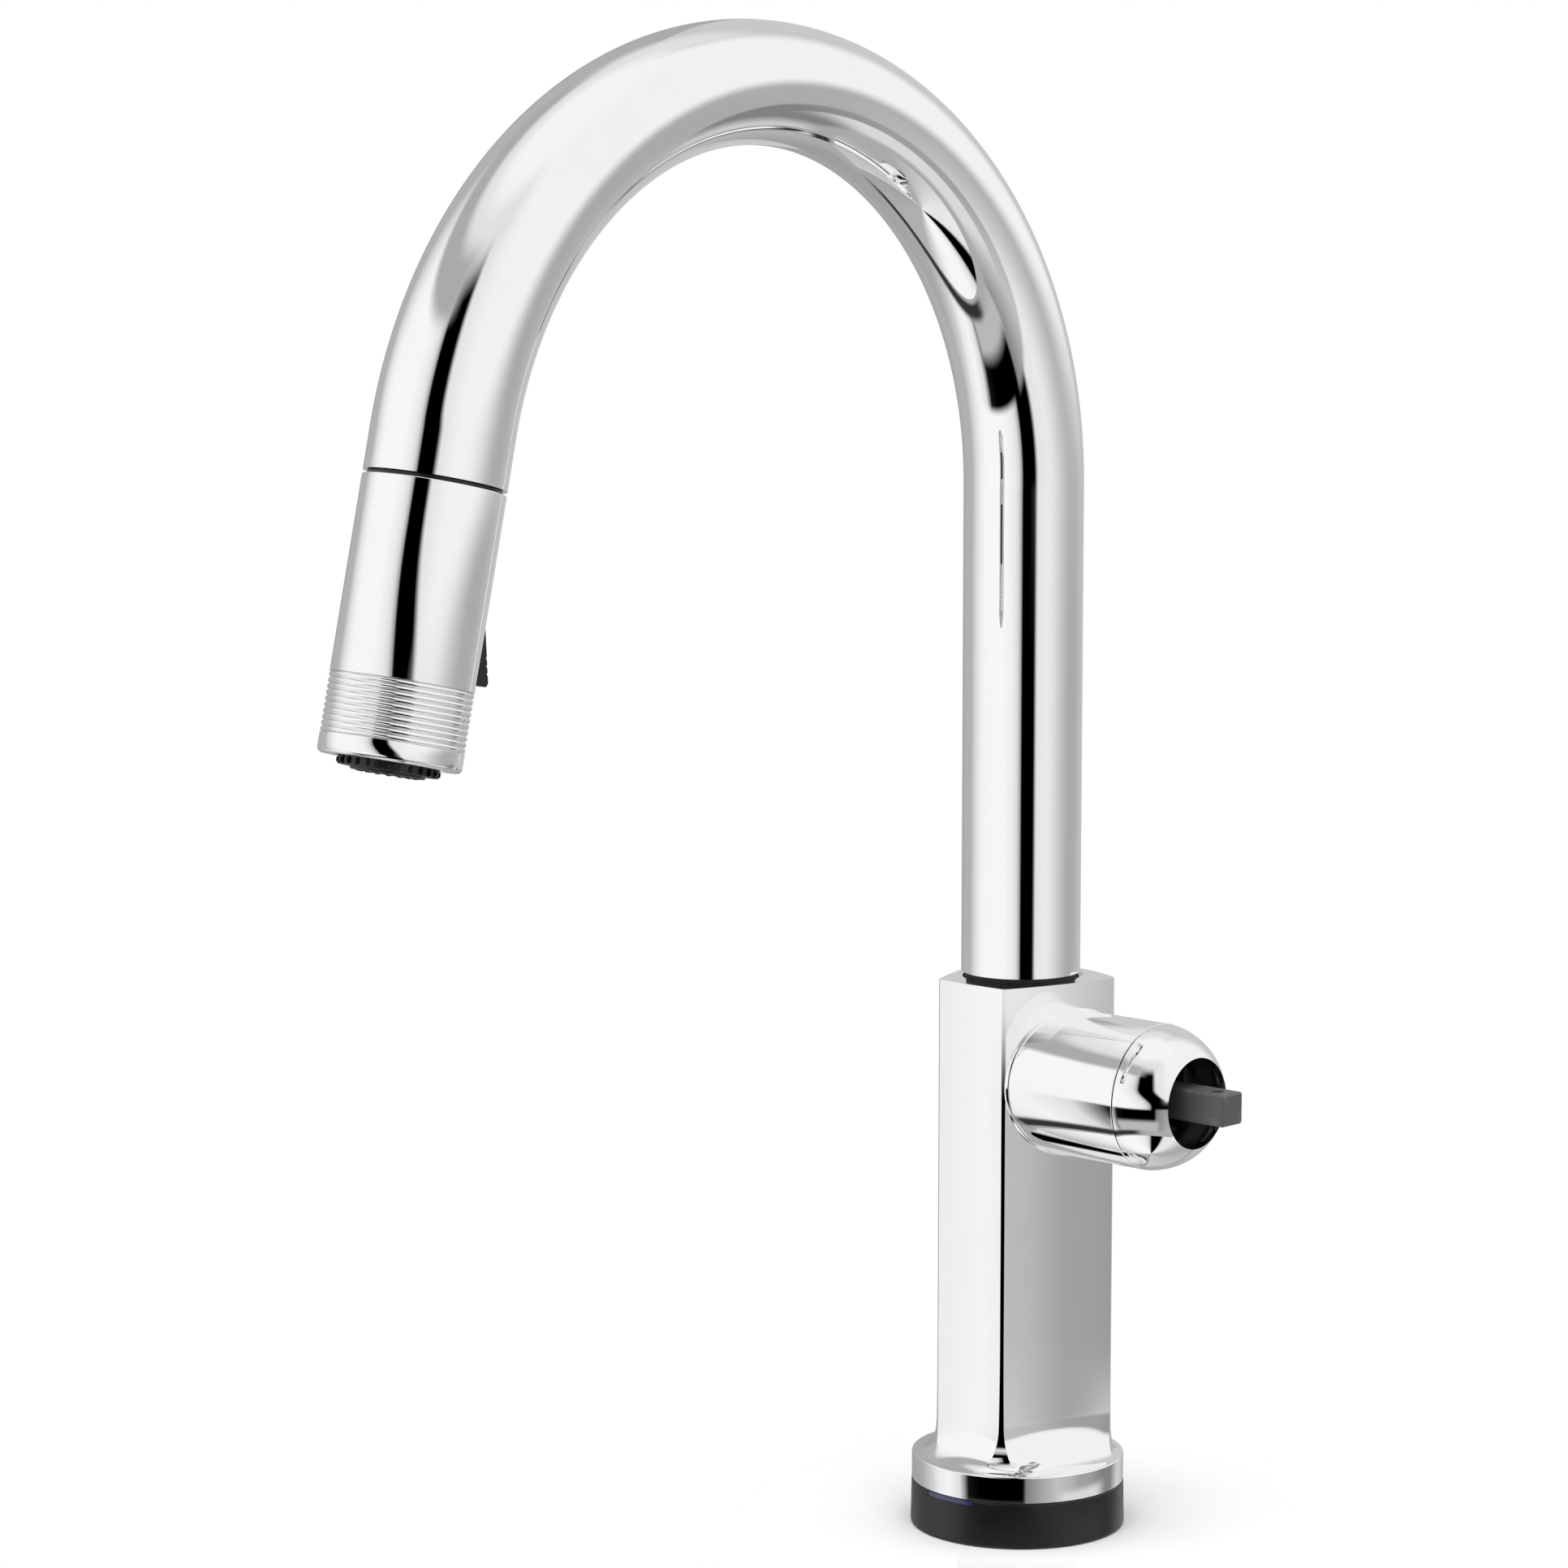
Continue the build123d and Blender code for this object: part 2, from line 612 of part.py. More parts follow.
dock_len = 13.8
dock_r = 12.6
neck_r = dock_r - free
with BuildPart() as dock_collar:
    turned(wand_plane, wand_axis, [
        (9.0, -dock_len - 6), (end_bore - 0.4, -dock_len - 6), (end_bore - 0.4, -tail_len + 0.3),
        (end_bore - snug, -tail_len + 0.3),
        (end_bore - snug, -0.2), (dock_r, -0.2), (dock_r, -dock_len), (9.0, -dock_len)])

magnet_t = 2.8
with BuildPart() as dock_magnet:
    wand_ring(9.0, dock_r - snug, -dock_len, -dock_len + magnet_t)

# ---------------------------------------------------------------- spray wand
shell_in = wand_r - wand_wall
neck_top = -dock_len + magnet_t + 0.15
hose_r = 7.4
neck_bore = hose_r + free
with BuildPart() as hose_end:
    turned(wand_plane, wand_axis, [
        (4.0, -34), (5.6, -34), (5.6, -22), (hose_r, -22), (hose_r, -6), (6.4, -6),
        (6.4, 3.0), (5.6, 3.0), (5.6, 8.6), (4.0, 8.6)])

with BuildPart() as hose_swivel_nut:
    with BuildSketch(wand_cross.offset(-22 - snug)):
        Circle(hose_r + 0.15)
        Circle(5.6 + snug, mode=Mode.SUBTRACT)
    extrude(amount=-5)

with BuildPart() as wand_collar:
    turned(wand_plane, wand_axis, [
        (neck_bore, neck_top), (9.0, neck_top), (9.0, neck_top + 1.6),
        (neck_r - 0.6, neck_top + 1.6), (neck_r - 0.6, neck_top), (neck_r - 0.3, neck_top),
        (neck_r, neck_top + 0.3), (neck_r, 0.2), (wand_r - 1.1, 0.2), (wand_r - 1.1, wand_gap),
        (shell_in - snug, wand_gap), (shell_in - snug, 9.0), (neck_bore, 9.0)])

with BuildPart() as docking_ring:
    wand_ring(9.0 + snug, neck_r - 0.6 - snug, neck_top, neck_top + 1.6 - snug)

rib_pitch = (rib_end - rib_start) / rib_count
valley = wand_r - rib_depth
edge_r = 1.2
window_top = button_top - 0.4
window_end = button_end + 0.5
pin_at = button_top + 2.3
pin_deep = shell_in - 0.7
pin_r = 0.9
with BuildPart() as wand_shell:
    with BuildSketch(wand_plane):
        with BuildLine():
            Line((shell_in, wand_gap), (wand_r - 0.3, wand_gap))
            Line((wand_r - 0.3, wand_gap), (wand_r, wand_gap + 0.3))
            Line((wand_r, wand_gap + 0.3), (wand_r, rib_start))
            Line((wand_r, rib_start), (valley, rib_start))
            for rib_no in range(rib_count):
                low = rib_start + rib_no * rib_pitch
                ThreePointArc((valley, low), (wand_r, low + rib_pitch / 2),
                              (valley, low + rib_pitch))
            Line((valley, rib_end), (wand_r, rib_end))
            Line((wand_r, rib_end), (wand_r, wand_len - edge_r))
            ThreePointArc((wand_r, wand_len - edge_r),
                          (wand_r - edge_r * (1 - cos(radians(45))),
                           wand_len - edge_r * (1 - sin(radians(45)))),
                          (wand_r - edge_r, wand_len))
            Line((wand_r - edge_r, wand_len), (shell_in, wand_len))
            Line((shell_in, wand_len), (shell_in, wand_gap))
        make_face()
    revolve(axis=wand_axis)
    with BuildSketch(wand_cross.offset(window_top)):
        with Locations((0, -wand_r)):
            Rectangle(2 * (button_half + free), 12)
    extrude(amount=window_end - window_top, mode=Mode.SUBTRACT)
    button_plane = Plane(origin=spout_end, x_dir=(0, -outlet.Z, outlet.Y), z_dir=(-1, 0, 0))
    with BuildSketch(button_plane.offset(-button_half - 4)):
        with Locations((pin_deep, pin_at)):
            Circle(pin_r)
    extrude(amount=2 * (button_half + 4), mode=Mode.SUBTRACT)

# rocker button: a wedge that stands proud at its lower end
button_in = shell_in - 3.2
with BuildPart() as spray_button:
    with BuildSketch(button_plane.offset(-button_half)):
        with BuildLine():
            Polyline((button_in, button_top), (wand_r - 0.5, button_top), (wand_r, button_top + 0.6),
                     (wand_r + button_proud, button_end - 1.0),
                     (wand_r + button_proud - 0.5, button_end),
                     (button_in, button_end), close=True)
        make_face()
    extrude(amount=2 * button_half)
    with BuildSketch(button_plane.offset(-button_half - 1)):
        with Locations((pin_deep, pin_at)):
            Circle(pin_r + running)
    extrude(amount=2 * button_half + 2, mode=Mode.SUBTRACT)

with BuildPart() as button_pin:
    with BuildSketch(button_plane.offset(-button_half - 2)):
        with Locations((pin_deep, pin_at)):
            Circle(pin_r - 0.01)
    extrude(amount=2 * (button_half + 2))

# water way through the wand, with a flat and a cross bore behind the button
way_r = 11.6
flat_y = 8.4
plunger_at = pin_at + 9.5
plunger_r = 2.2
way_end = 56.0
with BuildPart() as wand_waterway:
    wand_ring(0, way_r, 9.0 + snug, way_end)
    wand_ring(0, 5.9, 8.0, way_end - 8, mode=Mode.SUBTRACT)
    with BuildSketch(wand_cross.offset(window_top - 2)):
        with Locations((0, -flat_y - 10)):
            Rectangle(40, 20)
    extrude(amount=window_end - window_top + 4, mode=Mode.SUBTRACT)
    with BuildSketch(Plane(origin=wand_cross.from_local_coords((0, -20, plunger_at)),
                           x_dir=(1, 0, 0), z_dir=wand_cross.y_dir)):
        Circle(plunger_r + running)
    extrude(amount=20, mode=Mode.SUBTRACT)
    with BuildSketch(wand_cross.offset(way_end - 9)):
        with PolarLocations(8.6, 6):
            Circle(1.3)
    extrude(amount=10, mode=Mode.SUBTRACT)

with BuildPart() as check_valve:
    wand_ring(0, 5.9 - snug, 12, 14)
    wand_ring(3.2, 5.9 - snug, 14, 21)
    with BuildSketch(wand_cross.offset(11)):
        with PolarLocations(3.4, 6):
            Circle(1.1)
    extrude(amount=3.2, mode=Mode.SUBTRACT)

plunger_out = button_in - 0.1 - (plunger_r + 1.3) * sin(radians(button_press))
with BuildPart() as diverter_plunger:
    plunger_plane = Plane(origin=wand_cross.from_local_coords((0, -plunger_out, plunger_at)),
                          x_dir=(1, 0, 0), z_dir=wand_cross.y_dir)
    with BuildSketch(plunger_plane):
        Circle(plunger_r + 1.3)
    extrude(amount=0.9)
    with BuildSketch(plunger_plane):
        Circle(plunger_r)
    extrude(amount=plunger_out - 2.0)

# ---------------------------------------------------------------- spray face
face_t = 6.0
with BuildPart() as spray_carrier:
    wand_ring(0, shell_in - snug, way_end, way_end + 3.5)
    wand_ring(tooth_ring_r + 0.4, shell_in - snug, way_end + 3.5, wand_len - 0.6)
    with BuildSketch(wand_cross.offset(way_end - 1)):
        with PolarLocations(8.6, 6):
            Circle(1.3)
        Circle(2.4)
    extrude(amount=6, mode=Mode.SUBTRACT)

ring_face = wand_len + tooth_ring_out
with BuildPart() as tooth_ring:
    wand_ring(nozzle_disc_r + 0.3, tooth_ring_r, way_end + 3.5, ring_face)
    with BuildSketch(wand_cross.offset(wand_len - 0.6)):
        with PolarLocations(tooth_ring_r, tooth_count):
            Rectangle(1.3, 0.9)
    extrude(amount=tooth_ring_out + 1, mode=Mode.SUBTRACT)

disc_face = wand_len + nozzle_disc_out
spray_rows = [(6.9, 16, 0), (4.3, 10, 0.2)]
with BuildPart() as nozzle_disc:
    wand_ring(0, nozzle_disc_r, way_end + 4.6, disc_face)
    fillet(nozzle_disc.edges().filter_by(GeomType.CIRCLE).sort_by(wand_axis)[-1], radius=0.5)
    with BuildSketch(wand_cross.offset(way_end + 4)):
        for row_r, count, start in spray_rows:
            with PolarLocations(row_r, count, start_angle=start):
                Circle(0.75)
        Circle(2.6)
    extrude(amount=20, mode=Mode.SUBTRACT)

with BuildPart() as soft_nozzles:
    with BuildSketch(wand_cross.offset(way_end + 4.6)):
        for row_r, count, start in spray_rows:
            with PolarLocations(row_r, count, start_angle=start):
                Circle(0.75 - 0.03)
        for row_r, count, start in spray_rows:
            with PolarLocations(row_r, count, start_angle=start):
                Circle(0.35, mode=Mode.SUBTRACT)
    extrude(amount=disc_face + nozzle_out - way_end - 4.6)

with BuildPart() as stream_screen:
    wand_ring(0, 2.6 - 0.03, disc_face - 3.0, disc_face - 0.8)
    with BuildSketch(wand_cross.offset(disc_face - 4)):
        with GridLocations(1.2, 1.2, 3, 3):
            Rectangle(0.7, 0.7)
    extrude(amount=6, mode=Mode.SUBTRACT)

with BuildPart() as face_seal:
    wand_ring(2.8, nozzle_disc_r - 0.4, way_end + 3.5, way_end + 4.6)
    with BuildSketch(wand_cross.offset(way_end + 3)):
        for row_r, count, start in spray_rows:
            with PolarLocations(row_r, count, start_angle=start):
                Circle(0.6)
    extrude(amount=2, mode=Mode.SUBTRACT)

# ---------------------------------------------------------------- write the pieces
pieces = {
    "column_body": column_body, "base_ring": base_ring, "indicator_lens": indicator_lens,
    "light_board": light_board, "deck_seal": deck_seal, "mounting_shank": mounting_shank,
    "rubber_washer": rubber_washer, "steel_washer": steel_washer, "mounting_nut": mounting_nut,
    "clamp_screws": clamp_screws, "hub_trim": hub_trim, "hub_sleeve": hub_sleeve,
    "dome_cap": dome_cap, "valve_body": valve_body, "valve_screws": valve_screws,
    "port_nipples": port_nipples, "port_seal": port_seal,
    "cartridge_housing": cartridge_housing, "fixed_disc": fixed_disc, "bonnet_nut": bonnet_nut,
    "moving_disc": moving_disc, "disc_driver": disc_driver, "stem_carrier": stem_carrier,
    "lever_pin": lever_pin, "lever_stub": lever_stub, "lower_bushing": lower_bushing,
    "upper_bushing": upper_bushing, "glide_ring": glide_ring, "spout_insert": spout_insert,
    "retaining_screw": retaining_screw, "hose_guide": hose_guide, "spout_tube": spout_tube,
    "dock_collar": dock_collar, "dock_magnet": dock_magnet, "hose_end": hose_end,
    "hose_swivel_nut": hose_swivel_nut, "wand_collar": wand_collar,
    "docking_ring": docking_ring, "wand_shell": wand_shell, "spray_button": spray_button,
    "button_pin": button_pin, "wand_waterway": wand_waterway, "check_valve": check_valve,
    "diverter_plunger": diverter_plunger, "spray_carrier": spray_carrier,
    "tooth_ring": tooth_ring, "nozzle_disc": nozzle_disc, "soft_nozzles": soft_nozzles,
    "stream_screen": stream_screen, "face_seal": face_seal,
}
os.makedirs("parts", exist_ok=True)
for label, piece in pieces.items():
    piece.part.label = label
    export_step(piece.part, f"parts/{label}.step")
    print(f"{label}: {len(piece.part.solids())} solid(s), {piece.part.volume:.0f} mm3")
print("outlet direction", outlet, "spout end", spout_end)
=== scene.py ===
# %% [markdown]
# # A chrome pull-down kitchen faucet
# This file dresses a finished CAD model. The CAD holds every size, mount and joint, so the script
# asks the frame where things are and builds smoother, richer pieces in the same places.
# Mirror chrome shows every flaw of a mesh, so the polished pieces are skinned again with dense,
# evenly spaced rings, and the hidden ones keep their CAD shape and get a better finish.

# %% Load the frame
import json
import math
import bmesh
import bpy
from mathutils import Matrix, Vector


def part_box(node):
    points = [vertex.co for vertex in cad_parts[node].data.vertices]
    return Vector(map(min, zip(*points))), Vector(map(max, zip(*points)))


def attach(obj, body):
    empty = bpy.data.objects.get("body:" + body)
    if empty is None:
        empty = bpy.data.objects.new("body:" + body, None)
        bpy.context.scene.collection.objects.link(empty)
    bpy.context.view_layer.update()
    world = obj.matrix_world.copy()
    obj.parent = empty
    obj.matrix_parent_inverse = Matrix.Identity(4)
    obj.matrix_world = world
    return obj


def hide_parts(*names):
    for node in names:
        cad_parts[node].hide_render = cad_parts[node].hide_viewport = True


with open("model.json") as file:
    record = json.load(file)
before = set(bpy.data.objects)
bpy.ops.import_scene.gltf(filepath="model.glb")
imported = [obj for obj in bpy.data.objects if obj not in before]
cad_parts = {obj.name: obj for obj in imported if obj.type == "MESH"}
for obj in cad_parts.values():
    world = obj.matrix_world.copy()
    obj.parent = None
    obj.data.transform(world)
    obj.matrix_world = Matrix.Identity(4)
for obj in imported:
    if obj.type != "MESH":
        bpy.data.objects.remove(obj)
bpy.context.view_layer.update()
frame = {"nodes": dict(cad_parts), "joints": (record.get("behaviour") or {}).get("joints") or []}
joints = {joint["name"]: joint for joint in frame["joints"]}
print("nodes:", len(frame["nodes"]), "joints:", sorted(joints))

# %% [markdown]
# ## Where things are
# Sizes come from the boxes of the CAD nodes and from the joints. MM turns a size in millimetres,
# which is how a maker says it, into Blender's metres.

# %% Places and sizes
MM = 0.001


def span(node):
    """Lowest and highest corner of a CAD node, as vectors."""
    low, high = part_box(node)
    return Vector(low), Vector(high)


column_low, column_high = span("column_body")
ring_high = span("base_ring")[1]
flange_r = column_high.x
base_top = ring_high.z
column_top = column_high.z
flange_top = base_top + 7.5 * MM
hub_centre = Vector(joints["temperature_turn"]["pos_m"])
hub_centre.x = 0.0
hub_r = (span("hub_sleeve")[1].z - span("hub_sleeve")[0].z) / 2
hub_wall = 2 * MM
tube_low = span("spout_tube")[0]
spout_end = Vector(joints["wand_twist"]["pos_m"])
outlet = Vector(joints["wand_pull"]["axis"]).normalized()
across = Vector((1, 0, 0))
inward = outlet.cross(across)
print("flange radius", round(flange_r, 4), "hub radius", round(hub_r, 4), "outlet", tuple(outlet))

# %% [markdown]
# ## The camera
# The camera stands to the front right of the faucet, a little above the middle of the riser and
# looking slightly down, with a long lens so that upright edges stay nearly parallel.

# %% Camera
camera_azimuth = math.radians(43.545)
camera_back = 1.3196
camera_side = -0.0637
camera_height = 0.3821
camera_pitch = math.radians(7.735)
camera_lens = 114.17

toward = Vector((math.sin(camera_azimuth), -math.cos(camera_azimuth), 0))
right = Vector((math.cos(camera_azimuth), math.sin(camera_azimuth), 0))
camera_data = bpy.data.cameras.new("studio_camera")
camera_data.lens = camera_lens
camera_data.sensor_width = 36
camera = bpy.data.objects.new("studio_camera", camera_data)
bpy.context.scene.collection.objects.link(camera)
camera.location = toward * camera_back + right * camera_side + Vector((0, 0, camera_height))
look = -toward * math.cos(camera_pitch) - Vector((0, 0, math.sin(camera_pitch)))
camera.rotation_mode = "QUATERNION"
camera.rotation_quaternion = look.to_track_quat("-Z", "Y")
bpy.context.scene.camera = camera
print("camera at", tuple(round(v, 3) for v in camera.location))

# %% [markdown]
# ## The studio
# Chrome has no colour of its own: what we see is the room. So the room is drawn in the world
# shader, as brightness against direction. White screens stand left and right, a narrow dark gap
# lies between them where the camera looks through, and the far right side is a softer gray.
# A smooth ramp on the compass angle of each ray draws that. Soft bands on the ray's height then add
# a window on the right, a ceiling, a gray beam on the left and a bright spot straight overhead.
# Rays that come straight from the camera see plain white.

# %% Shader helpers
def new_node(tree, kind, **settings):
    """Add a node and set its properties by name."""
    node = tree.nodes.new(kind)
    for key, value in settings.items():
        setattr(node, key, value)
    return node


def math_node(tree, operation, first, second=None, clamp=False):
    """A math node whose inputs are links or plain numbers; returns its output."""
    node = new_node(tree, "ShaderNodeMath", operation=operation, use_clamp=clamp)
    for socket, value in zip(node.inputs, (first, second)):
        if value is None:
            continue
        if isinstance(value, (int, float)):
            socket.default_value = value
        else:
            tree.links.new(value, socket)
    return node.outputs[0]


def screen_light(tone, mirror=0.94):
    """Scene brightness that shows as this display tone in a chrome mirror."""
    return tone**2.2 / mirror


def gray(light, cool=0.0):
    """A gray of this brightness, with a little more blue if asked."""
    return light, light, light + cool, 1


# %% [markdown]
# The two tables hold display tones by compass angle. The camera stands at 0 degrees and positive
# angles are to its right. The first is the far room, the second a card that stands close by.

# %% Room tones
level_tones = [
    (-180, 0.62), (-137, 0.68), (-119, 0.68), (-105, 0.83), (-93, 0.91), (-82, 0.95),
    (-60, 0.96), (-36, 0.955), (-20, 0.91), (-12, 0.84), (-6, 0.6), (-4, 0.0), (19, 0.0),
    (21, 0.5), (25, 0.88), (44, 0.905), (53, 0.885), (62, 0.84), (72, 0.775), (82, 0.72),
    (93, 0.665), (105, 0.65), (119, 0.66), (137, 0.71), (180, 0.77)]
near_tones = [
    (-180, 0.6), (-126, 0.65), (-105, 0.8), (-96, 0.9), (-80, 0.95), (-66, 0.86), (-60, 0.55),
    (-56, 0.1),
    (-43, 0.0), (4, 0.0), (7, 0.5), (40, 0.74), (54, 0.7), (66, 0.62), (80, 0.605), (98, 0.5),
    (115, 0.5), (132, 0.8), (152, 0.7), (180, 0.6)]


def compass_ramp(tree, factor, tones):
    """A colour ramp whose stops are given as degrees from the camera's side of the room."""
    ramp = new_node(tree, "ShaderNodeValToRGB")
    stops = ramp.color_ramp.elements
    while len(stops) > 1:
        stops.remove(stops[-1])
    for number, (degrees, tone) in enumerate(tones):
        place = (degrees + 180) / 360
        stop = stops[0] if number == 0 else stops.new(place)
        stop.position = place
        light = screen_light(tone)
        stop.color = (light, light, light * 1.004, 1)
    tree.links.new(factor, ramp.inputs[0])
    return ramp.outputs[0]


def blend_colour(tree, factor, first, second):
    """Mix two colours; each may be a link or an (r, g, b, a) value."""
    mix = new_node(tree, "ShaderNodeMix", data_type="RGBA")
    for socket, value in zip((mix.inputs[0], mix.inputs[6], mix.inputs[7]), (factor, first, second)):
        if isinstance(value, (tuple, float, int)):
            socket.default_value = value
        else:
            tree.links.new(value, socket)
    return mix.outputs[2]


def along(vector):
    """How far the ray points along a level direction."""
    first = math_node(tree, "MULTIPLY", parts.outputs[0], vector.x)
    second = math_node(tree, "MULTIPLY", parts.outputs[1], vector.y)
    return math_node(tree, "ADD", first, second)


def smooth_step(tree, value, start, end, low=0.0, high=1.0):
    """A smooth step between two values of a link."""
    step = new_node(tree, "ShaderNodeMapRange", interpolation_type="SMOOTHSTEP")
    for title, number in zip(("From Min", "From Max", "To Min", "To Max"), (start, end, low, high)):
        step.inputs[title].default_value = number
    tree.links.new(value, step.inputs["Value"])
    return step.outputs[0]


def band(tree, value, start, full, fade, end):
    """A smooth bump: 0 outside start and end, 1 between full and fade."""
    rise = smooth_step(tree, value, start, full)
    return math_node(tree, "MULTIPLY", rise, smooth_step(tree, value, fade, end, 1.0, 0.0))


def compass_turn(tree):
    """The compass angle of the split vector, from 0 to 1, with the camera's side at one half."""
    angle = math_node(tree, "ARCTAN2", along(right), along(toward))
    return math_node(tree, "ADD", math_node(tree, "DIVIDE", angle, 2 * math.pi), 0.5)


# %% [markdown]
# Each span says where a soft band starts, is full, starts to fade and ends, as a share of a full
# turn or as the height of the ray's direction.

# %% World shader
left_span, front_right_span = (0.02, 0.08, 0.4, 0.47), (0.52, 0.6, 0.86, 0.93)
beam_span = (0.6, 0.68, 0.78, 0.86)
window_foot, window_full = -0.12, 0.12
ceiling_foot, ceiling_full = 0.66, 0.84
zenith_foot, zenith_full = 0.86, 0.97
lean_turn = 22 / 360

world = bpy.data.worlds.new("studio_room")
world.use_nodes = True
bpy.context.scene.world = world
tree = world.node_tree
tree.nodes.clear()
direction = new_node(tree, "ShaderNodeTexCoord").outputs["Generated"]
parts = new_node(tree, "ShaderNodeSeparateXYZ")
tree.links.new(direction, parts.inputs[0])
turn = compass_turn(tree)
height = parts.outputs[2]
lean = smooth_step(tree, height, -0.1, 0.35, 0.0, lean_turn)
room = compass_ramp(tree, math_node(tree, "ADD", turn, lean), level_tones)
left_side = band(tree, turn, *left_span)
front_right = band(tree, turn, *front_right_span)
window_light = math_node(tree, "MULTIPLY", smooth_step(tree, height, window_foot, window_full), front_right)
room = blend_colour(tree, window_light, room, gray(0.92, 0.005))
ceiling = math_node(tree, "MULTIPLY", smooth_step(tree, height, ceiling_foot, ceiling_full),
                    math_node(tree, "SUBTRACT", 1.0, front_right))
room = blend_colour(tree, ceiling, room, gray(0.78, 0.005))
beam = math_node(tree, "MULTIPLY", band(tree, height, *beam_span), left_side)
room = blend_colour(tree, beam, room, gray(0.42))
zenith = smooth_step(tree, height, zenith_foot, zenith_full)
room = blend_colour(tree, zenith, room, gray(0.95))
seen = new_node(tree, "ShaderNodeLightPath").outputs["Is Camera Ray"]
room = blend_colour(tree, seen, room, gray(1.0))
background = new_node(tree, "ShaderNodeBackground")
tree.links.new(room, background.inputs[0])
tree.links.new(background.outputs[0], new_node(tree, "ShaderNodeOutputWorld").inputs[0])
bpy.context.scene.view_settings.view_transform = "Standard"
print("world stops:", len(level_tones), "near card stops:", len(near_tones))

# %% [markdown]
# ## The floor
# A pale disc that fades to nothing before its rim, so that no horizon line shows. It catches a
# soft shadow, and it is hidden from mirror rays, because the world shader already draws the floor.

# %% Floor
def link_mesh(name, builder):
    """Turn a bmesh into an object that sits at the origin."""
    mesh = bpy.data.meshes.new(name)
    builder.to_mesh(mesh)
    builder.free()
    obj = bpy.data.objects.new(name, mesh)
    bpy.context.scene.collection.objects.link(obj)
    return obj


floor_r = 1.6
fade_start, fade_end = 0.032, 0.1
builder = bmesh.new()
bmesh.ops.create_circle(builder, cap_ends=True, radius=floor_r, segments=96)
floor = link_mesh("studio_floor", builder)
floor.visible_glossy = False
floor_paint = bpy.data.materials.new("pale_floor")
floor_paint.use_nodes = True
tree = floor_paint.node_tree
tree.nodes.clear()
paint = new_node(tree, "ShaderNodeBsdfDiffuse")
paint.inputs["Color"].default_value = (0.97, 0.97, 0.97, 1)
clear = new_node(tree, "ShaderNodeBsdfTransparent")
distance = new_node(tree, "ShaderNodeVectorMath", operation="LENGTH")
tree.links.new(new_node(tree, "ShaderNodeTexCoord").outputs["Object"], distance.inputs[0])
fade = new_node(tree, "ShaderNodeMapRange", interpolation_type="SMOOTHSTEP")
fade.inputs["From Min"].default_value = fade_start
fade.inputs["From Max"].default_value = fade_end
tree.links.new(distance.outputs["Value"], fade.inputs["Value"])
mixed = new_node(tree, "ShaderNodeMixShader")
tree.links.new(fade.outputs[0], mixed.inputs[0])
tree.links.new(paint.outputs[0], mixed.inputs[1])
tree.links.new(clear.outputs[0], mixed.inputs[2])
tree.links.new(mixed.outputs[0], new_node(tree, "ShaderNodeOutputMaterial").inputs[0])
floor.data.materials.append(floor_paint)

# %% [markdown]
# ## The near card
# The base and the hub mirror what stands close to them and low down, which a far room cannot show:
# its picture would not shift along the column. So an open cylinder stands round the faucet, seen by
# mirror rays only. It carries its own ramp, a dark stripe and a bright pool low on the right, and
# its top edge fades out.

# %% Near card
wall_r, wall_top, wall_bottom, wall_steps = 0.6, 0.045, -0.62, 180
wall_fade = 0.04
right_span, gap_span = (0.6, 0.64, 0.74, 0.8), (0.33, 0.35, 0.52, 0.54)
stripe_span = (-0.6, -0.54, -0.46, -0.38)
builder = bmesh.new()
ends = []
for z in (wall_bottom, wall_top):
    ends.append([builder.verts.new((wall_r * math.cos(2 * math.pi * i / wall_steps),
                                    wall_r * math.sin(2 * math.pi * i / wall_steps), z))
                 for i in range(wall_steps)])
for i in range(wall_steps):
    j = (i + 1) % wall_steps
    builder.faces.new((ends[0][i], ends[0][j], ends[1][j], ends[1][i]))
near_wall = link_mesh("studio_near_wall", builder)
for ray in ("camera", "diffuse", "transmission", "shadow", "volume_scatter"):
    setattr(near_wall, "visible_" + ray, False)
wall_paint = bpy.data.materials.new("near_wall_card")
wall_paint.use_nodes = True
tree = wall_paint.node_tree
tree.nodes.clear()
parts = new_node(tree, "ShaderNodeSeparateXYZ")
tree.links.new(new_node(tree, "ShaderNodeTexCoord").outputs["Object"], parts.inputs[0])
turn = compass_turn(tree)
card = compass_ramp(tree, turn, near_tones)
left_side = band(tree, turn, *left_span)
wall_z = parts.outputs[2]
right_side = band(tree, turn, *right_span)
pool = math_node(tree, "MULTIPLY", smooth_step(tree, wall_z, -0.09, -0.13), right_side)
card = blend_colour(tree, pool, card, gray(0.72, 0.005))
gap_side = band(tree, turn, *gap_span)
haze = math_node(tree, "MULTIPLY", smooth_step(tree, wall_z, -0.13, -0.24), gap_side)
card = blend_colour(tree, haze, card, gray(0.5))
stripe = math_node(tree, "MULTIPLY", band(tree, wall_z, *stripe_span), left_side)
card = blend_colour(tree, smooth_step(tree, wall_z, -0.34, -0.5), card, gray(0.42))
card = blend_colour(tree, math_node(tree, "MULTIPLY", stripe, 0.94), card, gray(0.01))
glow = new_node(tree, "ShaderNodeEmission")
tree.links.new(card, glow.inputs["Color"])
see_through = new_node(tree, "ShaderNodeBsdfTransparent")
top_fade = new_node(tree, "ShaderNodeMixShader")
tree.links.new(smooth_step(tree, wall_z, wall_top - wall_fade, wall_top), top_fade.inputs[0])
tree.links.new(glow.outputs[0], top_fade.inputs[1])
tree.links.new(see_through.outputs[0], top_fade.inputs[2])
tree.links.new(top_fade.outputs[0], new_node(tree, "ShaderNodeOutputMaterial").inputs[0])
near_wall.data.materials.append(wall_paint)

# %% [markdown]
# One large overhead disc lights the matt pieces from the front. Mirror rays don't see it.

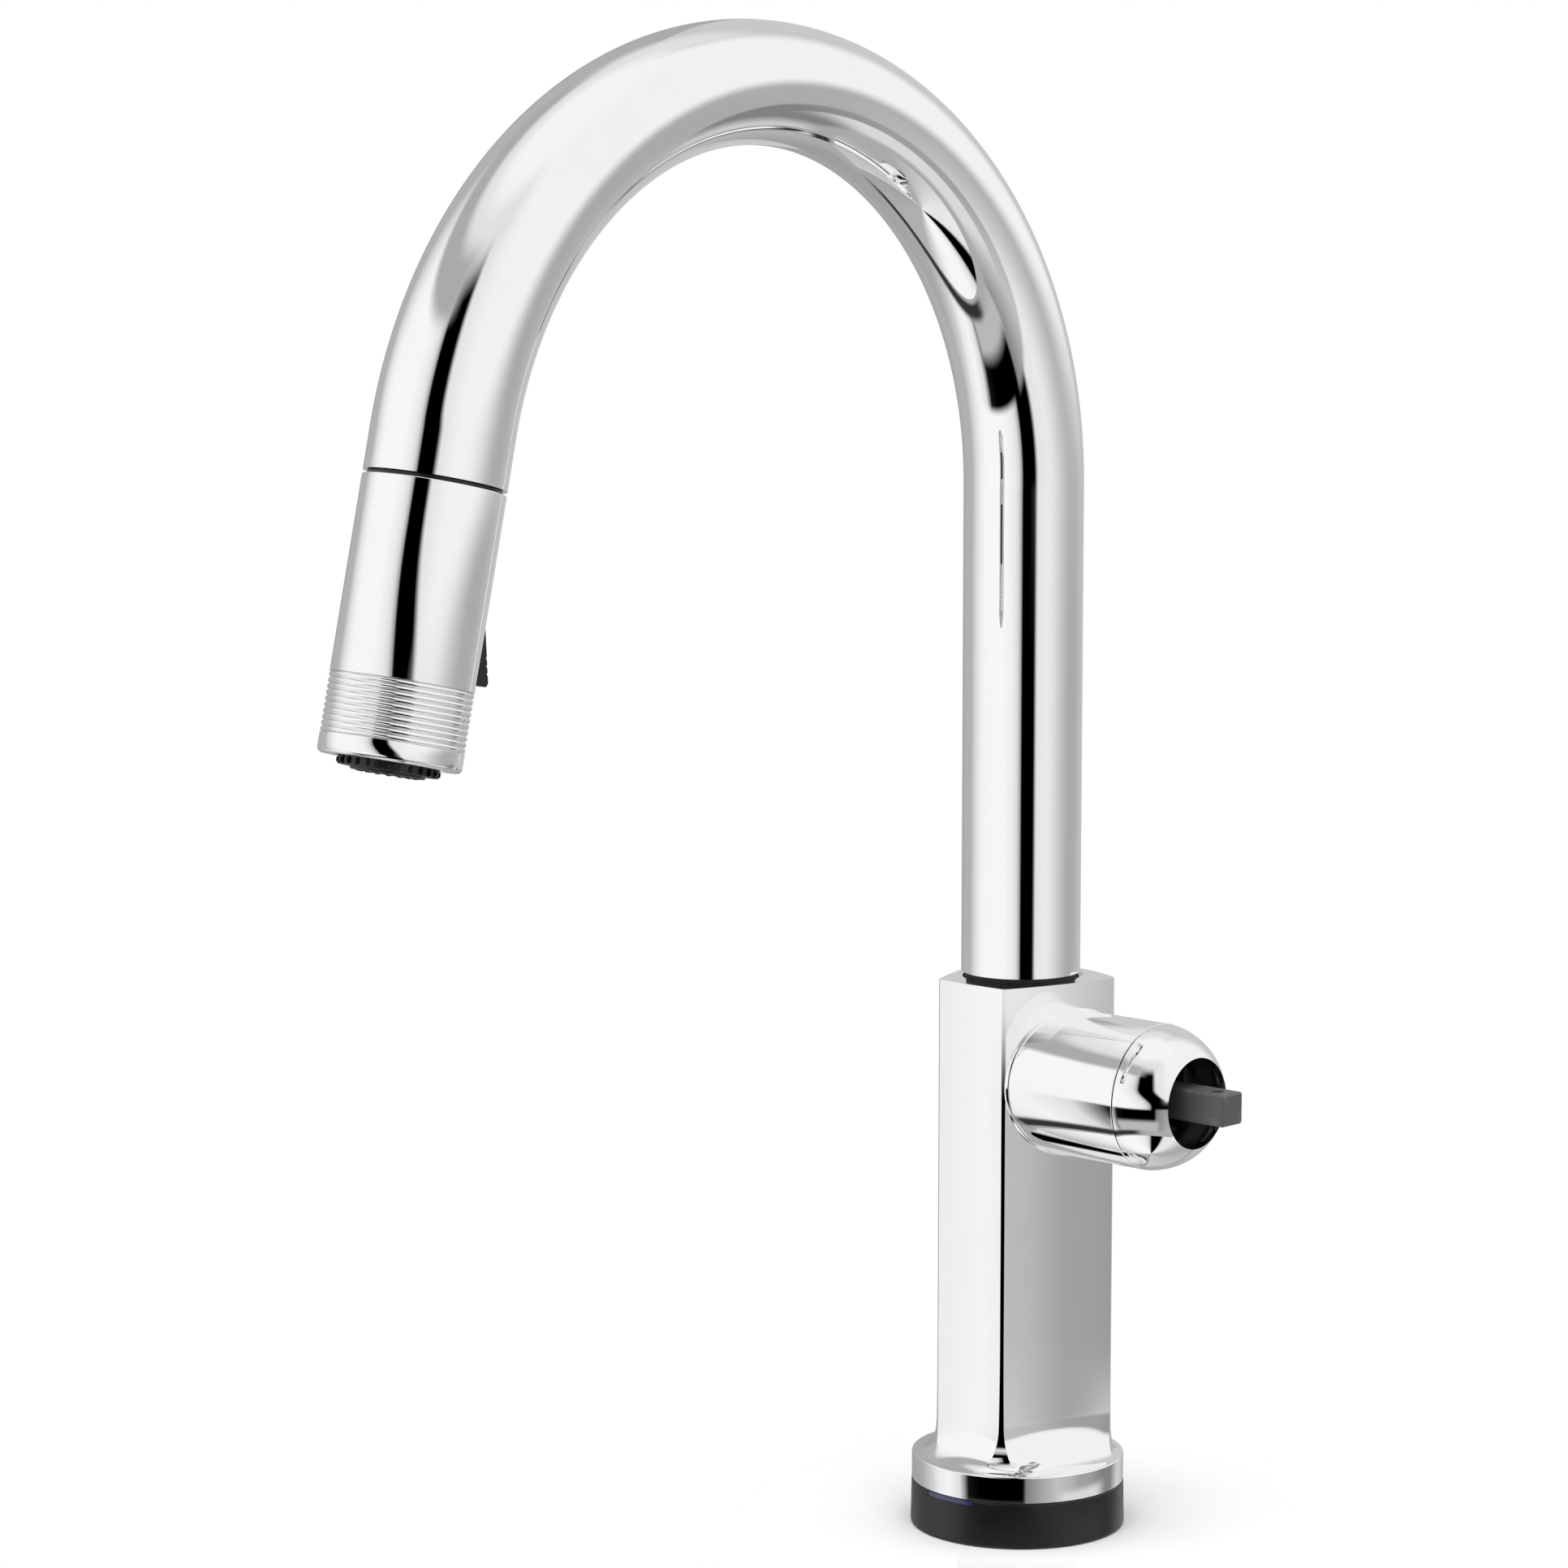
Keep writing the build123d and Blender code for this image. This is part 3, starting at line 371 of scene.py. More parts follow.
# %% Soft light
lamp_data = bpy.data.lights.new("overhead_softbox", "AREA")
lamp_data.shape = "DISK"
lamp_data.size = 1.2
lamp_data.energy = 15
lamp = bpy.data.objects.new("overhead_softbox", lamp_data)
lamp.location = (0.3, -0.5, 1.6)
lamp.rotation_euler = (-lamp.location).to_track_quat("-Z", "Y").to_euler()
lamp.visible_glossy = False
bpy.context.scene.collection.objects.link(lamp)
print("floor radius", floor_r, "lamp energy", lamp_data.energy)

# %% [markdown]
# ## Shared surface effects
# Four small node groups hold the effects that several finishes share. Each has named inputs and
# gives out a value or a height that changes over the surface, and the shader itself stays in the
# material. Smudges are the faint film that hands and dried water leave on polish. Grain is the
# texture of a mould. Turning is the fine ring pattern of a lathe. Dust is sparse pale specks.

# %% Node groups
def group(name, inputs, outputs):
    """An empty shader group with float sockets; returns the tree, its input and output nodes."""
    tree = bpy.data.node_groups.new(name, "ShaderNodeTree")
    for title, value in inputs:
        kind = "NodeSocketVector" if value is None else "NodeSocketFloat"
        socket = tree.interface.new_socket(name=title, in_out="INPUT", socket_type=kind)
        if value is not None:
            socket.default_value = value
    for title in outputs:
        tree.interface.new_socket(name=title, in_out="OUTPUT", socket_type="NodeSocketFloat")
    return tree, new_node(tree, "NodeGroupInput"), new_node(tree, "NodeGroupOutput")


def noise(tree, where, scale, detail=3.0, rough=0.55, distortion=0.0):
    """Noise at a scale that may be a link or a number."""
    node = new_node(tree, "ShaderNodeTexNoise")
    tree.links.new(where, node.inputs["Vector"])
    if isinstance(scale, (int, float)):
        node.inputs["Scale"].default_value = scale
    else:
        tree.links.new(scale, node.inputs["Scale"])
    node.inputs["Detail"].default_value = detail
    node.inputs["Roughness"].default_value = rough
    node.inputs["Distortion"].default_value = distortion
    return node.outputs["Fac"]


def ranged(tree, value, low, high, to_low, to_high):
    """Map a value from one range to another, without overshoot."""
    node = new_node(tree, "ShaderNodeMapRange", clamp=True)
    tree.links.new(value, node.inputs["Value"])
    for title, number in zip(("From Min", "From Max", "To Min", "To Max"),
                             (low, high, to_low, to_high)):
        if isinstance(number, (int, float)):
            node.inputs[title].default_value = number
        else:
            tree.links.new(number, node.inputs[title])
    return node.outputs[0]


smudge_group, given, result = group(
    "smudges", [("Vector", None), ("Scale", 40.0), ("Clean", 0.03), ("Smeared", 0.09)],
    ["Roughness", "Mask"])
cloud = noise(smudge_group, given.outputs["Vector"], given.outputs["Scale"], 5.0, 0.6, 0.8)
streak_scale = math_node(smudge_group, "MULTIPLY", given.outputs["Scale"], 6.0)
streak = noise(smudge_group, given.outputs["Vector"], streak_scale, 2.0, 0.5)
film = math_node(smudge_group, "MULTIPLY", cloud, ranged(smudge_group, streak, 0.3, 0.7, 0.6, 1.0))
mask = ranged(smudge_group, film, 0.34, 0.6, 0.0, 1.0)
smeared = ranged(smudge_group, mask, 0.0, 1.0, given.outputs["Clean"], given.outputs["Smeared"])
smudge_group.links.new(smeared, result.inputs["Roughness"])
smudge_group.links.new(mask, result.inputs["Mask"])

grain_group, given, result = group("mould_grain", [("Vector", None), ("Scale", 900.0)], ["Height", "Value"])
fine = noise(grain_group, given.outputs["Vector"], given.outputs["Scale"], 2.0, 0.5)
broad_scale = math_node(grain_group, "MULTIPLY", given.outputs["Scale"], 0.08)
broad = noise(grain_group, given.outputs["Vector"], broad_scale, 3.0, 0.5)
grain_group.links.new(fine, result.inputs["Height"])
grain_group.links.new(broad, result.inputs["Value"])

turning_group, given, result = group(
    "turning_marks", [("Vector", None), ("Rings per metre", 3000.0)], ["Height", "Value"])
spread = new_node(turning_group, "ShaderNodeSeparateXYZ")
turning_group.links.new(given.outputs["Vector"], spread.inputs[0])
rings = math_node(turning_group, "MULTIPLY", spread.outputs[2], given.outputs["Rings per metre"])
lines = new_node(turning_group, "ShaderNodeTexNoise", noise_dimensions="1D")
turning_group.links.new(rings, lines.inputs["W"])
lines.inputs["Scale"].default_value = 1.0
lines.inputs["Detail"].default_value = 2.0
turning_group.links.new(lines.outputs["Fac"], result.inputs["Height"])
turning_group.links.new(lines.outputs["Fac"], result.inputs["Value"])

dust_group, given, result = group(
    "dust_specks", [("Vector", None), ("Scale", 700.0), ("Amount", 0.5)], ["Mask"])
cells = new_node(dust_group, "ShaderNodeTexVoronoi", feature="F1")
dust_group.links.new(given.outputs["Vector"], cells.inputs["Vector"])
dust_group.links.new(given.outputs["Scale"], cells.inputs["Scale"])
speck = ranged(dust_group, cells.outputs["Distance"], 0.05, 0.12, 1.0, 0.0)
patch = noise(dust_group, given.outputs["Vector"], 60.0, 2.0)
patchy = ranged(dust_group, patch, 0.5, 0.65, 0.0, given.outputs["Amount"])
dust_group.links.new(math_node(dust_group, "MULTIPLY", speck, patchy), result.inputs["Mask"])
print("groups:", [g.name for g in bpy.data.node_groups])

# %% [markdown]
# ## The finishes
# One function starts every material: a Principled shader, object coordinates, and the chosen
# groups. Numbers that are the same all over the surface are set on the shader's own sockets.

# %% Material helpers
def start_material(name, colour, metallic=0.0, roughness=0.4, coat=0.0, ior=1.5):
    """A material with a Principled shader; returns it with its tree, shader and coordinates."""
    material = bpy.data.materials.new(name)
    material.use_nodes = True
    tree = material.node_tree
    shader = tree.nodes["Principled BSDF"]
    shader.inputs["Base Color"].default_value = (*colour, 1)
    shader.inputs["Metallic"].default_value = metallic
    shader.inputs["Roughness"].default_value = roughness
    shader.inputs["Coat Weight"].default_value = coat
    shader.inputs["IOR"].default_value = ior
    where = new_node(tree, "ShaderNodeTexCoord").outputs["Object"]
    return material, tree, shader, where


def use_group(tree, source, where, **values):
    """Place a shared group in a material, with this material's own values."""
    node = new_node(tree, "ShaderNodeGroup", node_tree=source)
    tree.links.new(where, node.inputs["Vector"])
    for title, value in values.items():
        node.inputs[title.replace("_", " ")].default_value = value
    return node


def add_bump(tree, shader, heights, distance):
    """Feed one height into a Bump node of the given depth in metres."""
    bump = new_node(tree, "ShaderNodeBump")
    bump.inputs["Strength"].default_value = 1.0
    bump.inputs["Distance"].default_value = distance
    tree.links.new(heights, bump.inputs["Height"])
    tree.links.new(bump.outputs[0], shader.inputs["Normal"])


def tint(tree, shader, mask, colour, worn):
    """Vary the base colour between two tones by a mask."""
    tree.links.new(blend_colour(tree, mask, (*colour, 1), (*worn, 1)), shader.inputs["Base Color"])


# %% [markdown]
# Chrome plate is nearly a perfect mirror, a touch blue. Its only texture is a barely visible film,
# so the smudge group moves the roughness by a few hundredths and dulls the colour a little.

# %% Chrome
def make_chrome(name, clean, smeared):
    material, tree, shader, where = start_material(name, (0.95, 0.955, 0.965), metallic=1.0)
    film = use_group(tree, smudge_group, where, Scale=28.0, Clean=clean, Smeared=smeared)
    tree.links.new(film.outputs["Roughness"], shader.inputs["Roughness"])
    tint(tree, shader, film.outputs["Mask"], (0.955, 0.96, 0.967), (0.94, 0.945, 0.953))
    return material


chrome = make_chrome("chrome_plate", 0.01, 0.03)
print("made", chrome.name)

# %% [markdown]
# The moulded blacks differ by their use: satin for the rings and the button, rubber for nozzles and
# seals. Grain gives them a soft broken highlight, and a few dust specks keep them from looking new.

# %% Plastics and rubber
def make_plastic(name, colour, lighter, roughness, grain_scale, grain_depth, dust=0.0):
    material, tree, shader, where = start_material(name, colour, roughness=roughness)
    grain = use_group(tree, grain_group, where, Scale=grain_scale)
    add_bump(tree, shader, grain.outputs["Height"], grain_depth)
    mask = grain.outputs["Value"]
    if dust:
        specks = use_group(tree, dust_group, where, Amount=dust)
        mask = math_node(tree, "ADD", math_node(tree, "MULTIPLY", mask, 0.6), specks.outputs["Mask"], True)
    tint(tree, shader, mask, colour, lighter)
    spread = ranged(tree, grain.outputs["Value"], 0.3, 0.7, roughness - 0.05, roughness + 0.06)
    tree.links.new(spread, shader.inputs["Roughness"])
    return material


satin_black = make_plastic("satin_black", (0.005, 0.005, 0.0055), (0.011, 0.011, 0.012),
                           0.3, 1600, 3e-6, 0.1)
soft_rubber = make_plastic("soft_rubber", (0.016, 0.016, 0.016), (0.035, 0.035, 0.035),
                           0.62, 1100, 8e-6, 0.2)
acetal = make_plastic("white_acetal", (0.82, 0.81, 0.77), (0.7, 0.69, 0.65), 0.42, 900, 5e-6)
alumina = make_plastic("lapped_ceramic", (0.88, 0.87, 0.84), (0.8, 0.79, 0.76), 0.18, 2400, 1e-6)
board_green = make_plastic("board_green", (0.02, 0.12, 0.05), (0.06, 0.2, 0.09), 0.4, 700, 6e-6)
print("made", satin_black.name, soft_rubber.name, acetal.name)

# %% [markdown]
# The lever stub is die-cast zinc with a matte gray coat. It has an uneven, slightly pebbled skin,
# and the coat is rubbed brighter in patches where a handle has been on and off.

# %% Cast zinc
def make_cast_zinc():
    material, tree, shader, where = start_material("cast_zinc", (0.12, 0.12, 0.122),
                                                   metallic=0.25, roughness=0.5)
    grain = use_group(tree, grain_group, where, Scale=1400.0)
    add_bump(tree, shader, grain.outputs["Height"], 1.6e-5)
    rubbed = ranged(tree, noise(tree, where, 220.0, 4.0, 0.6), 0.55, 0.75, 0.0, 1.0)
    tint(tree, shader, rubbed, (0.115, 0.115, 0.118), (0.19, 0.19, 0.192))
    tree.links.new(ranged(tree, rubbed, 0.0, 1.0, 0.52, 0.38), shader.inputs["Roughness"])
    return material


cast_zinc = make_cast_zinc()
# A dark matt material for the inside of the dome cap. It is painted shade: a dark reflection painted where
# mirror chrome would be.
inside_shade_paint = make_plastic("painted_shade_inside", (0.02, 0.02, 0.021), (0.05, 0.05, 0.052), 0.4, 900, 6e-6)

# %% [markdown]
# Brass and steel inside are left as they came off the lathe: fine rings across the axis, brighter
# crests, and a slightly duller tone where oil has dried.

# %% Machined metals
def make_turned(name, colour, darker, roughness, depth):
    material, tree, shader, where = start_material(name, colour, metallic=1.0)
    rings = use_group(tree, turning_group, where, Rings_per_metre=2600.0)
    add_bump(tree, shader, rings.outputs["Height"], depth)
    stain = ranged(tree, noise(tree, where, 90.0, 4.0), 0.45, 0.7, 0.0, 0.7)
    tint(tree, shader, stain, colour, darker)
    spread = ranged(tree, rings.outputs["Value"], 0.2, 0.8, roughness - 0.06, roughness + 0.08)
    tree.links.new(spread, shader.inputs["Roughness"])
    return material


brass = make_turned("machined_brass", (0.74, 0.53, 0.24), (0.5, 0.34, 0.15), 0.28, 6e-6)
steel = make_turned("turned_steel", (0.6, 0.6, 0.61), (0.42, 0.42, 0.43), 0.3, 5e-6)
nickel = make_turned("nickel_plate", (0.66, 0.64, 0.6), (0.5, 0.48, 0.45), 0.2, 2e-6)

# %% [markdown]
# The light window is dark blue tinted plastic: deep colour, a polished coat, and a faint mottling
# of the diffuser behind it.

# %% Light window
def make_blue_lens():
    material, tree, shader, where = start_material("blue_window", (0.02, 0.03, 0.11),
                                                   roughness=0.16, coat=0.6)
    cloudy = noise(tree, where, 500.0, 2.0)
    tint(tree, shader, cloudy, (0.012, 0.018, 0.07), (0.04, 0.05, 0.14))
    tree.links.new(ranged(tree, cloudy, 0.3, 0.7, 0.12, 0.22), shader.inputs["Roughness"])
    return material


blue_window = make_blue_lens()
print("finishes:", len([m for m in bpy.data.materials]))

# %% [markdown]
# ## Skins made of rings
# Almost every polished piece is a stack of closed rings: turned parts, the column whose section
# changes from keystone to circle, and the bent tube. So one function skins a list of rings, and
# small helpers make the rings. The last ring joins the first, which closes the solid. Rings that
# shrink to a point are merged, and edges sharper than an angle are marked so that they stay crisp.

# %% Skinning helper
def tidy_mesh(obj, crisp=32.0):
    """Merge doubles, point faces outwards and mark crisp edges."""
    builder = bmesh.new()
    builder.from_mesh(obj.data)
    bmesh.ops.remove_doubles(builder, verts=builder.verts, dist=2e-7)
    bmesh.ops.dissolve_degenerate(builder, edges=builder.edges, dist=1e-7)
    bmesh.ops.recalc_face_normals(builder, faces=builder.faces)
    limit = math.radians(crisp)
    for face in builder.faces:
        face.smooth = True
    for edge in builder.edges:
        edge.smooth = len(edge.link_faces) == 2 and edge.calc_face_angle(0) < limit
    builder.to_mesh(obj.data)
    builder.free()
    return obj


def skin(name, rings, material, body, replaced=(), crisp=32.0):
    """Skin closed rings of points into one closed solid that rides on a body."""
    builder = bmesh.new()
    rows = [[builder.verts.new(point) for point in ring] for ring in rings]
    for number, row in enumerate(rows):
        following = rows[(number + 1) % len(rows)]
        for i in range(len(row)):
            j = (i + 1) % len(row)
            builder.faces.new((row[i], row[j], following[j], following[i]))
    obj = tidy_mesh(link_mesh(name, builder), crisp)
    return adopt(obj, material, body, replaced)


def adopt(obj, material, body, replaced=()):
    """Give a finished piece its material, its body and the CAD nodes it stands for."""
    obj.data.materials.clear()
    obj.data.materials.append(material)
    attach(obj, body)
    if replaced:
        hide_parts(*replaced)
    print(obj.name, "faces:", len(obj.data.polygons))
    return obj


# %% [markdown]
# A turned piece needs only its outline, as (radius, height) corners with an optional rounding
# radius. Rounding is what makes metal look real: every true edge catches a thin line of light.

# %% Outline and turning helpers
def rounded(corners, steps=5):
    """Round the corners of a closed outline; each corner is (a, b) or (a, b, radius)."""
    points = []
    for i, corner in enumerate(corners):
        here = Vector(corner[:2])
        radius = corner[2] if len(corner) > 2 else 0
        if not radius:
            points.append(here)
            continue
        before = (Vector(corners[i - 1][:2]) - here).normalized()
        after = (Vector(corners[(i + 1) % len(corners)][:2]) - here).normalized()
        half = before.angle(after) / 2
        reach = radius / math.tan(half)
        middle = here + (before + after).normalized() * (radius / math.sin(half))
        start = (here + before * reach - middle).normalized()
        end = (here + after * reach - middle).normalized()
        points += [middle + start.slerp(end, step / steps) * radius for step in range(steps + 1)]
    return points


def about_z(r, h, turn):
    return Vector((r * math.cos(turn), r * math.sin(turn), h))


def about_hub(r, h, turn):
    return Vector((h, r * math.cos(turn), hub_centre.z + r * math.sin(turn)))


def about_wand(r, h, turn):
    return spout_end + outlet * h + (across * math.cos(turn) + inward * math.sin(turn)) * r


def turn_rings(outline, place, steps):
    """Rings of a turned piece: one ring for each point of its outline."""
    turns = [2 * math.pi * i / steps for i in range(steps)]
    return [[place(r, h, turn) for turn in turns] for r, h in outline]


def lathe(name, corners, place, material, body, replaced=(), steps=160, crisp=32.0):
    """Turn a rounded outline into a solid."""
    rings = turn_rings(rounded(corners), place, steps)
    return skin(name, rings, material, body, replaced, crisp)


# %% [markdown]
# ## The column
# The casting is a keystone in plan: a narrow front, two long sides that bulge slightly, and a wide
# curved back. Its foot flares into a round flange. One number, share, blends the section from the
# keystone to the circle, and the same rule gives every ring from the top down to the flange.

# %% Column section
front_half, front_y = 11.6 * MM, -20.2 * MM
back_half, back_corner_y, back_y = 21.1 * MM, 14.4 * MM, 19.4 * MM
side_bulge, front_bulge = 1.4 * MM, 0.35 * MM
bevel_small, bevel_growth = 0.6 * MM, 6.5 * MM
plan_corners = [Vector((-front_half, front_y)), Vector((front_half, front_y)),
                Vector((back_half, back_corner_y)), Vector((-back_half, back_corner_y))]
plan_bulges = [front_bulge, side_bulge, back_y - back_corner_y, side_bulge]


def bulged_side(start, end, bulge, bevel, steps):
    """Points of one bulged side, shortened at both ends by the bevel."""
    along = (end - start).normalized()
    out = Vector((along.y, -along.x))
    half = (end - start).length / 2
    radius = (half**2 + bulge**2) / (2 * bulge)
    centre = (start + end) / 2 - out * (radius - bulge)
    reach = math.asin((half - bevel) / radius)
    turns = [reach * (2 * i / steps - 1) for i in range(steps + 1)]
    return [centre + along * radius * math.sin(t) + out * radius * math.cos(t) for t in turns]


def column_section(share, grow=0.0):
    """The section's points: share 0 is the keystone, 1 the round flange."""
    bevel = bevel_small + bevel_growth * share
    points = []
    for i in range(4):
        start, end = plan_corners[i], plan_corners[(i + 1) % 4]
        points += bulged_side(start, end, plan_bulges[i], bevel, 14)
    return [(p * (1 - share) + p.normalized() * flange_r * share) * (1 + grow / 20) for p in points]


def level_ring(points, z):
    return [Vector((p.x, p.y, z)) for p in points]


def round_ring(radius, z):
    """A circle whose points have the same compass angles as the keystone's."""
    return level_ring([p.normalized() * radius for p in column_section(0)], z)


# %% Column casting
flare_h, gentle_h, gentle_share = 12.1 * MM, 21 * MM, 0.03
flare_sink, rim_share = 0.15 * MM, 0.94
flare_top = flange_top + flare_h
top_bevel = 0.35 * MM
rim_bevel = 0.5 * MM
bore_r, recess_r, recess_depth = 14 * MM, 15.65 * MM, 1.2 * MM
spigot_r, shank_neck_r, socket_top = 23.6 * MM, 15.05 * MM, 14.4 * MM

rings = []
flare_steps = 26
for step in range(flare_steps, -1, -1):
    turn = math.pi / 2 * step / flare_steps
    z = flare_top - (flare_h + flare_sink) * math.sin(turn)
    share = gentle_share + (rim_share - gentle_share) * (1 - math.cos(turn))
    if z > flange_top:
        rings.append(level_ring(column_section(share), z))
gentle_steps = 12
for step in range(1, gentle_steps + 1):
    up = step / gentle_steps
    rings.append(level_ring(column_section(gentle_share * (1 - up) ** 2), flare_top + gentle_h * up))
rings.append(level_ring(column_section(0), column_top - 2 * top_bevel))
for step in range(5):
    turn = math.pi / 2 * step / 4
    inset = -top_bevel * (1 - math.cos(turn))
    z = column_top - top_bevel + top_bevel * math.sin(turn)
    rings.append(level_ring(column_section(0, inset), z))
for radius, depth in ((recess_r + 0.3 * MM, 0), (recess_r + 0.05 * MM, 0.1 * MM),
                      (recess_r, 0.3 * MM), (recess_r, recess_depth), (bore_r, recess_depth)):
    rings.append(round_ring(radius, column_top - depth))
rings += [round_ring(bore_r, socket_top), round_ring(shank_neck_r, socket_top),
          round_ring(shank_neck_r, column_low.z), round_ring(spigot_r, column_low.z),
          round_ring(spigot_r, base_top), round_ring(flange_r - 0.3 * MM, base_top),
          round_ring(flange_r, base_top + 0.3 * MM), round_ring(flange_r, flange_top - rim_bevel)]
for step in range(1, 5):
    turn = math.pi / 2 * step / 4
    rings.append(round_ring(flange_r - rim_bevel * (1 - math.cos(turn)),
                            flange_top - rim_bevel + rim_bevel * math.sin(turn)))
skin("column_casting", rings, chrome, "base", ["column_body"], crisp=24)

# %% [markdown]
# ## The foot ring and its window
# Under the flange sits a black moulded ring. A low slot in its front edge holds the blue light
# window. The ring is turned, then the slot is cut with a boolean, which is simplest for one notch.

# %% Foot ring
window_h, window_half, window_depth = 1.4 * MM, math.radians(16), 1.6 * MM
foot_r = ring_high.x
ring_outline = [
    (spigot_r + 0.05 * MM, 0, 0.2 * MM), (foot_r, 0, 0.9 * MM),
    (flange_r + 0.05 * MM, base_top, 0.35 * MM), (spigot_r + 0.05 * MM, base_top, 0.2 * MM)]


def cut(obj, cutter):
    """Cut one closed piece out of another, then drop the cutter."""
    step = obj.modifiers.new("cut", "BOOLEAN")
    step.object = cutter
    step.solver = "EXACT"
    depsgraph = bpy.context.evaluated_depsgraph_get()
    mesh = bpy.data.meshes.new_from_object(obj.evaluated_get(depsgraph))
    obj.modifiers.clear()
    old = obj.data
    obj.data = mesh
    bpy.data.meshes.remove(old)
    bpy.data.objects.remove(cutter)


def sector_cutter(inner, outer, low, high, half, steps=40):
    """A solid piece of ring, centred on the front, to cut with."""
    turns = [-math.pi / 2 + half * (2 * i / steps - 1) for i in range(steps + 1)]
    builder = bmesh.new()
    rows = []
    for radius, z in ((inner, low), (outer, low), (outer, high), (inner, high)):
        rows.append([builder.verts.new(about_z(radius, z, t)) for t in turns])
    for number in range(4):
        row, following = rows[number], rows[(number + 1) % 4]
        for i in range(steps):
            builder.faces.new((row[i], row[i + 1], following[i + 1], following[i]))
    for end in (0, steps):
        builder.faces.new([row[end] for row in rows])
    bmesh.ops.recalc_face_normals(builder, faces=builder.faces)
    return link_mesh("sector_cutter", builder)


rings = turn_rings(rounded(ring_outline), about_z, 192)
foot_ring = skin("foot_ring", rings, satin_black, "base", ["base_ring"])
cut(foot_ring, sector_cutter(flange_r - window_depth, foot_r + 1 * MM, base_top - window_h,
                             base_top + 1 * MM, window_half))
tidy_mesh(foot_ring)

# %% [markdown]
# ## The handle hub
# The hub is a round sleeve that grows out of the column's bulged side, so its inner end is not
# flat: each point starts where the side surface is. A thin trim ring hides the joint and a domed
# cap with a round mouth closes the outer end.

# %% Hub sleeve and trim
side_chord = plan_corners[2] - plan_corners[1]
side_out = Vector((side_chord.y, -side_chord.x)).normalized()
side_radius = ((side_chord.length / 2) ** 2 + side_bulge**2) / (2 * side_bulge)
side_centre = (plan_corners[1] + plan_corners[2]) / 2 - side_out * (side_radius - side_bulge)
hub_bore = hub_r - hub_wall
trim_t, trim_step = 1.0 * MM, 0.5 * MM


def side_x(y, extra):
    """How far out the column's side surface is at this y, grown by extra."""
    return side_centre.x + math.sqrt((side_radius + extra) ** 2 - (y - side_centre.y) ** 2)


def hub_skin(name, outline, replaced):
    """Rings round the hub axis; a height may be a number or an offset from the side surface."""
    turns = [2 * math.pi * i / 224 for i in range(224)]
    rings = []
    for radius, height, from_side in outline:
        ring = []
        for turn in turns:
            y = radius * math.cos(turn)
            x = side_x(y, height) if from_side else height
            ring.append(Vector((x, y, hub_centre.z + radius * math.sin(turn))))
        rings.append(ring)
    return skin(name, rings, chrome, "base", replaced)


edge = 0.25 * MM
seam = span("hub_sleeve")[1].x
hub_skin("hub_sleeve_polished", [
    (hub_bore, trim_t, True), (hub_r, trim_t, True), (hub_r, seam - edge, False),
    (hub_r - 0.3 * edge, seam - 0.3 * edge, False), (hub_r - edge, seam, False),
    (hub_bore, seam, False)], ["hub_sleeve"])
trim_r = hub_r + trim_step
hub_skin("hub_trim_ring", [
    (hub_bore, 0, True), (trim_r - 0.1 * MM, 0, True), (trim_r, 0.15 * MM, True),
    (trim_r, trim_t - 0.4 * MM, True), (trim_r - 0.15 * MM, trim_t - 0.12 * MM, True),
    (trim_r - 0.4 * MM, trim_t, True), (hub_bore, trim_t, True)], ["hub_trim"])

# %% [markdown]
# The hub is wider than the flat of the side, so its far edge hangs past the column's back corner.
# A root ring fills that corner: its inner end follows the side, then the curve of the back.

# %% Hub root
back_bulge = back_y - back_corner_y
back_radius = (back_half**2 + back_bulge**2) / (2 * back_bulge)
root_lap = 0.3 * MM


def root_x(y):
    """Where the root starts: on the side, or on the column's back when y is past the corner."""
    if y <= back_corner_y:
        return side_x(y, 0)
    return math.sqrt(max(back_radius**2 - (y - back_y + back_radius) ** 2, 0))


root_turns = [2 * math.pi * i / 224 for i in range(224)]
root_rings = []
for radius, outer_end in ((hub_bore, False), (hub_r - 0.05 * MM, False), (hub_r - 0.05 * MM, True),
                          (hub_bore, True)):
    ring = []
    for turn in root_turns:
        y = radius * math.cos(turn)
        x = side_x(y, root_lap) if outer_end else root_x(y) - root_lap
        ring.append(Vector((x, y, hub_centre.z + radius * math.sin(turn))))
    root_rings.append(ring)
skin("hub_root", root_rings, chrome, "base")

# %% [markdown]
# The cap is a part of a sphere on a short skirt that plugs into the sleeve. The faces of its inside
# get a dull dark material, which is painted shade: a dark reflection painted in place of chrome.

# %% Domed cap
dome_r, dome_back, dome_wall, mouth_r = 19.6 * MM, 2.5 * MM, 2.0 * MM, 12.0 * MM
skirt_wall = 1.7 * MM
dome_low = span("dome_cap")[0]
dome_seam = seam + 0.3 * MM
dome_x = dome_seam - dome_back
skirt_r = hub_bore - 0.05 * MM


def dome_arc(radius, start_r, end_r, steps):
    """Points of the dome's arc between two radii from the hub axis."""
    first, last = math.acos(start_r / radius), math.acos(end_r / radius)
    turns = [first + (last - first) * i / steps for i in range(steps + 1)]
    return [(radius * math.cos(t), dome_x + radius * math.sin(t)) for t in turns]


lip = 0.35 * MM
inner_r = dome_r - dome_wall
skirt_in = skirt_r - skirt_wall
dome_outline = [(skirt_in, dome_low.x), (skirt_r, dome_low.x), (skirt_r, dome_seam),
                (math.sqrt(dome_r**2 - dome_back**2) - edge, dome_seam)]
dome_outline += dome_arc(dome_r, math.sqrt(dome_r**2 - dome_back**2) - 0.02 * MM, mouth_r + lip, 40)
mouth_x = dome_x + math.sqrt(dome_r**2 - mouth_r**2)
dome_outline += [(mouth_r + 0.1 * MM, mouth_x - 0.06 * MM), (mouth_r, mouth_x - 0.3 * MM)]
dome_outline += list(reversed(dome_arc(inner_r, skirt_in, mouth_r, 20)))
dome = skin("dome_cap_polished", turn_rings(dome_outline, about_hub, 224), chrome, "base", ["dome_cap"])
# Inside faces get the dark material: painted shade and a painted dark reflection in place of chrome.
dome.data.materials.append(inside_shade_paint)
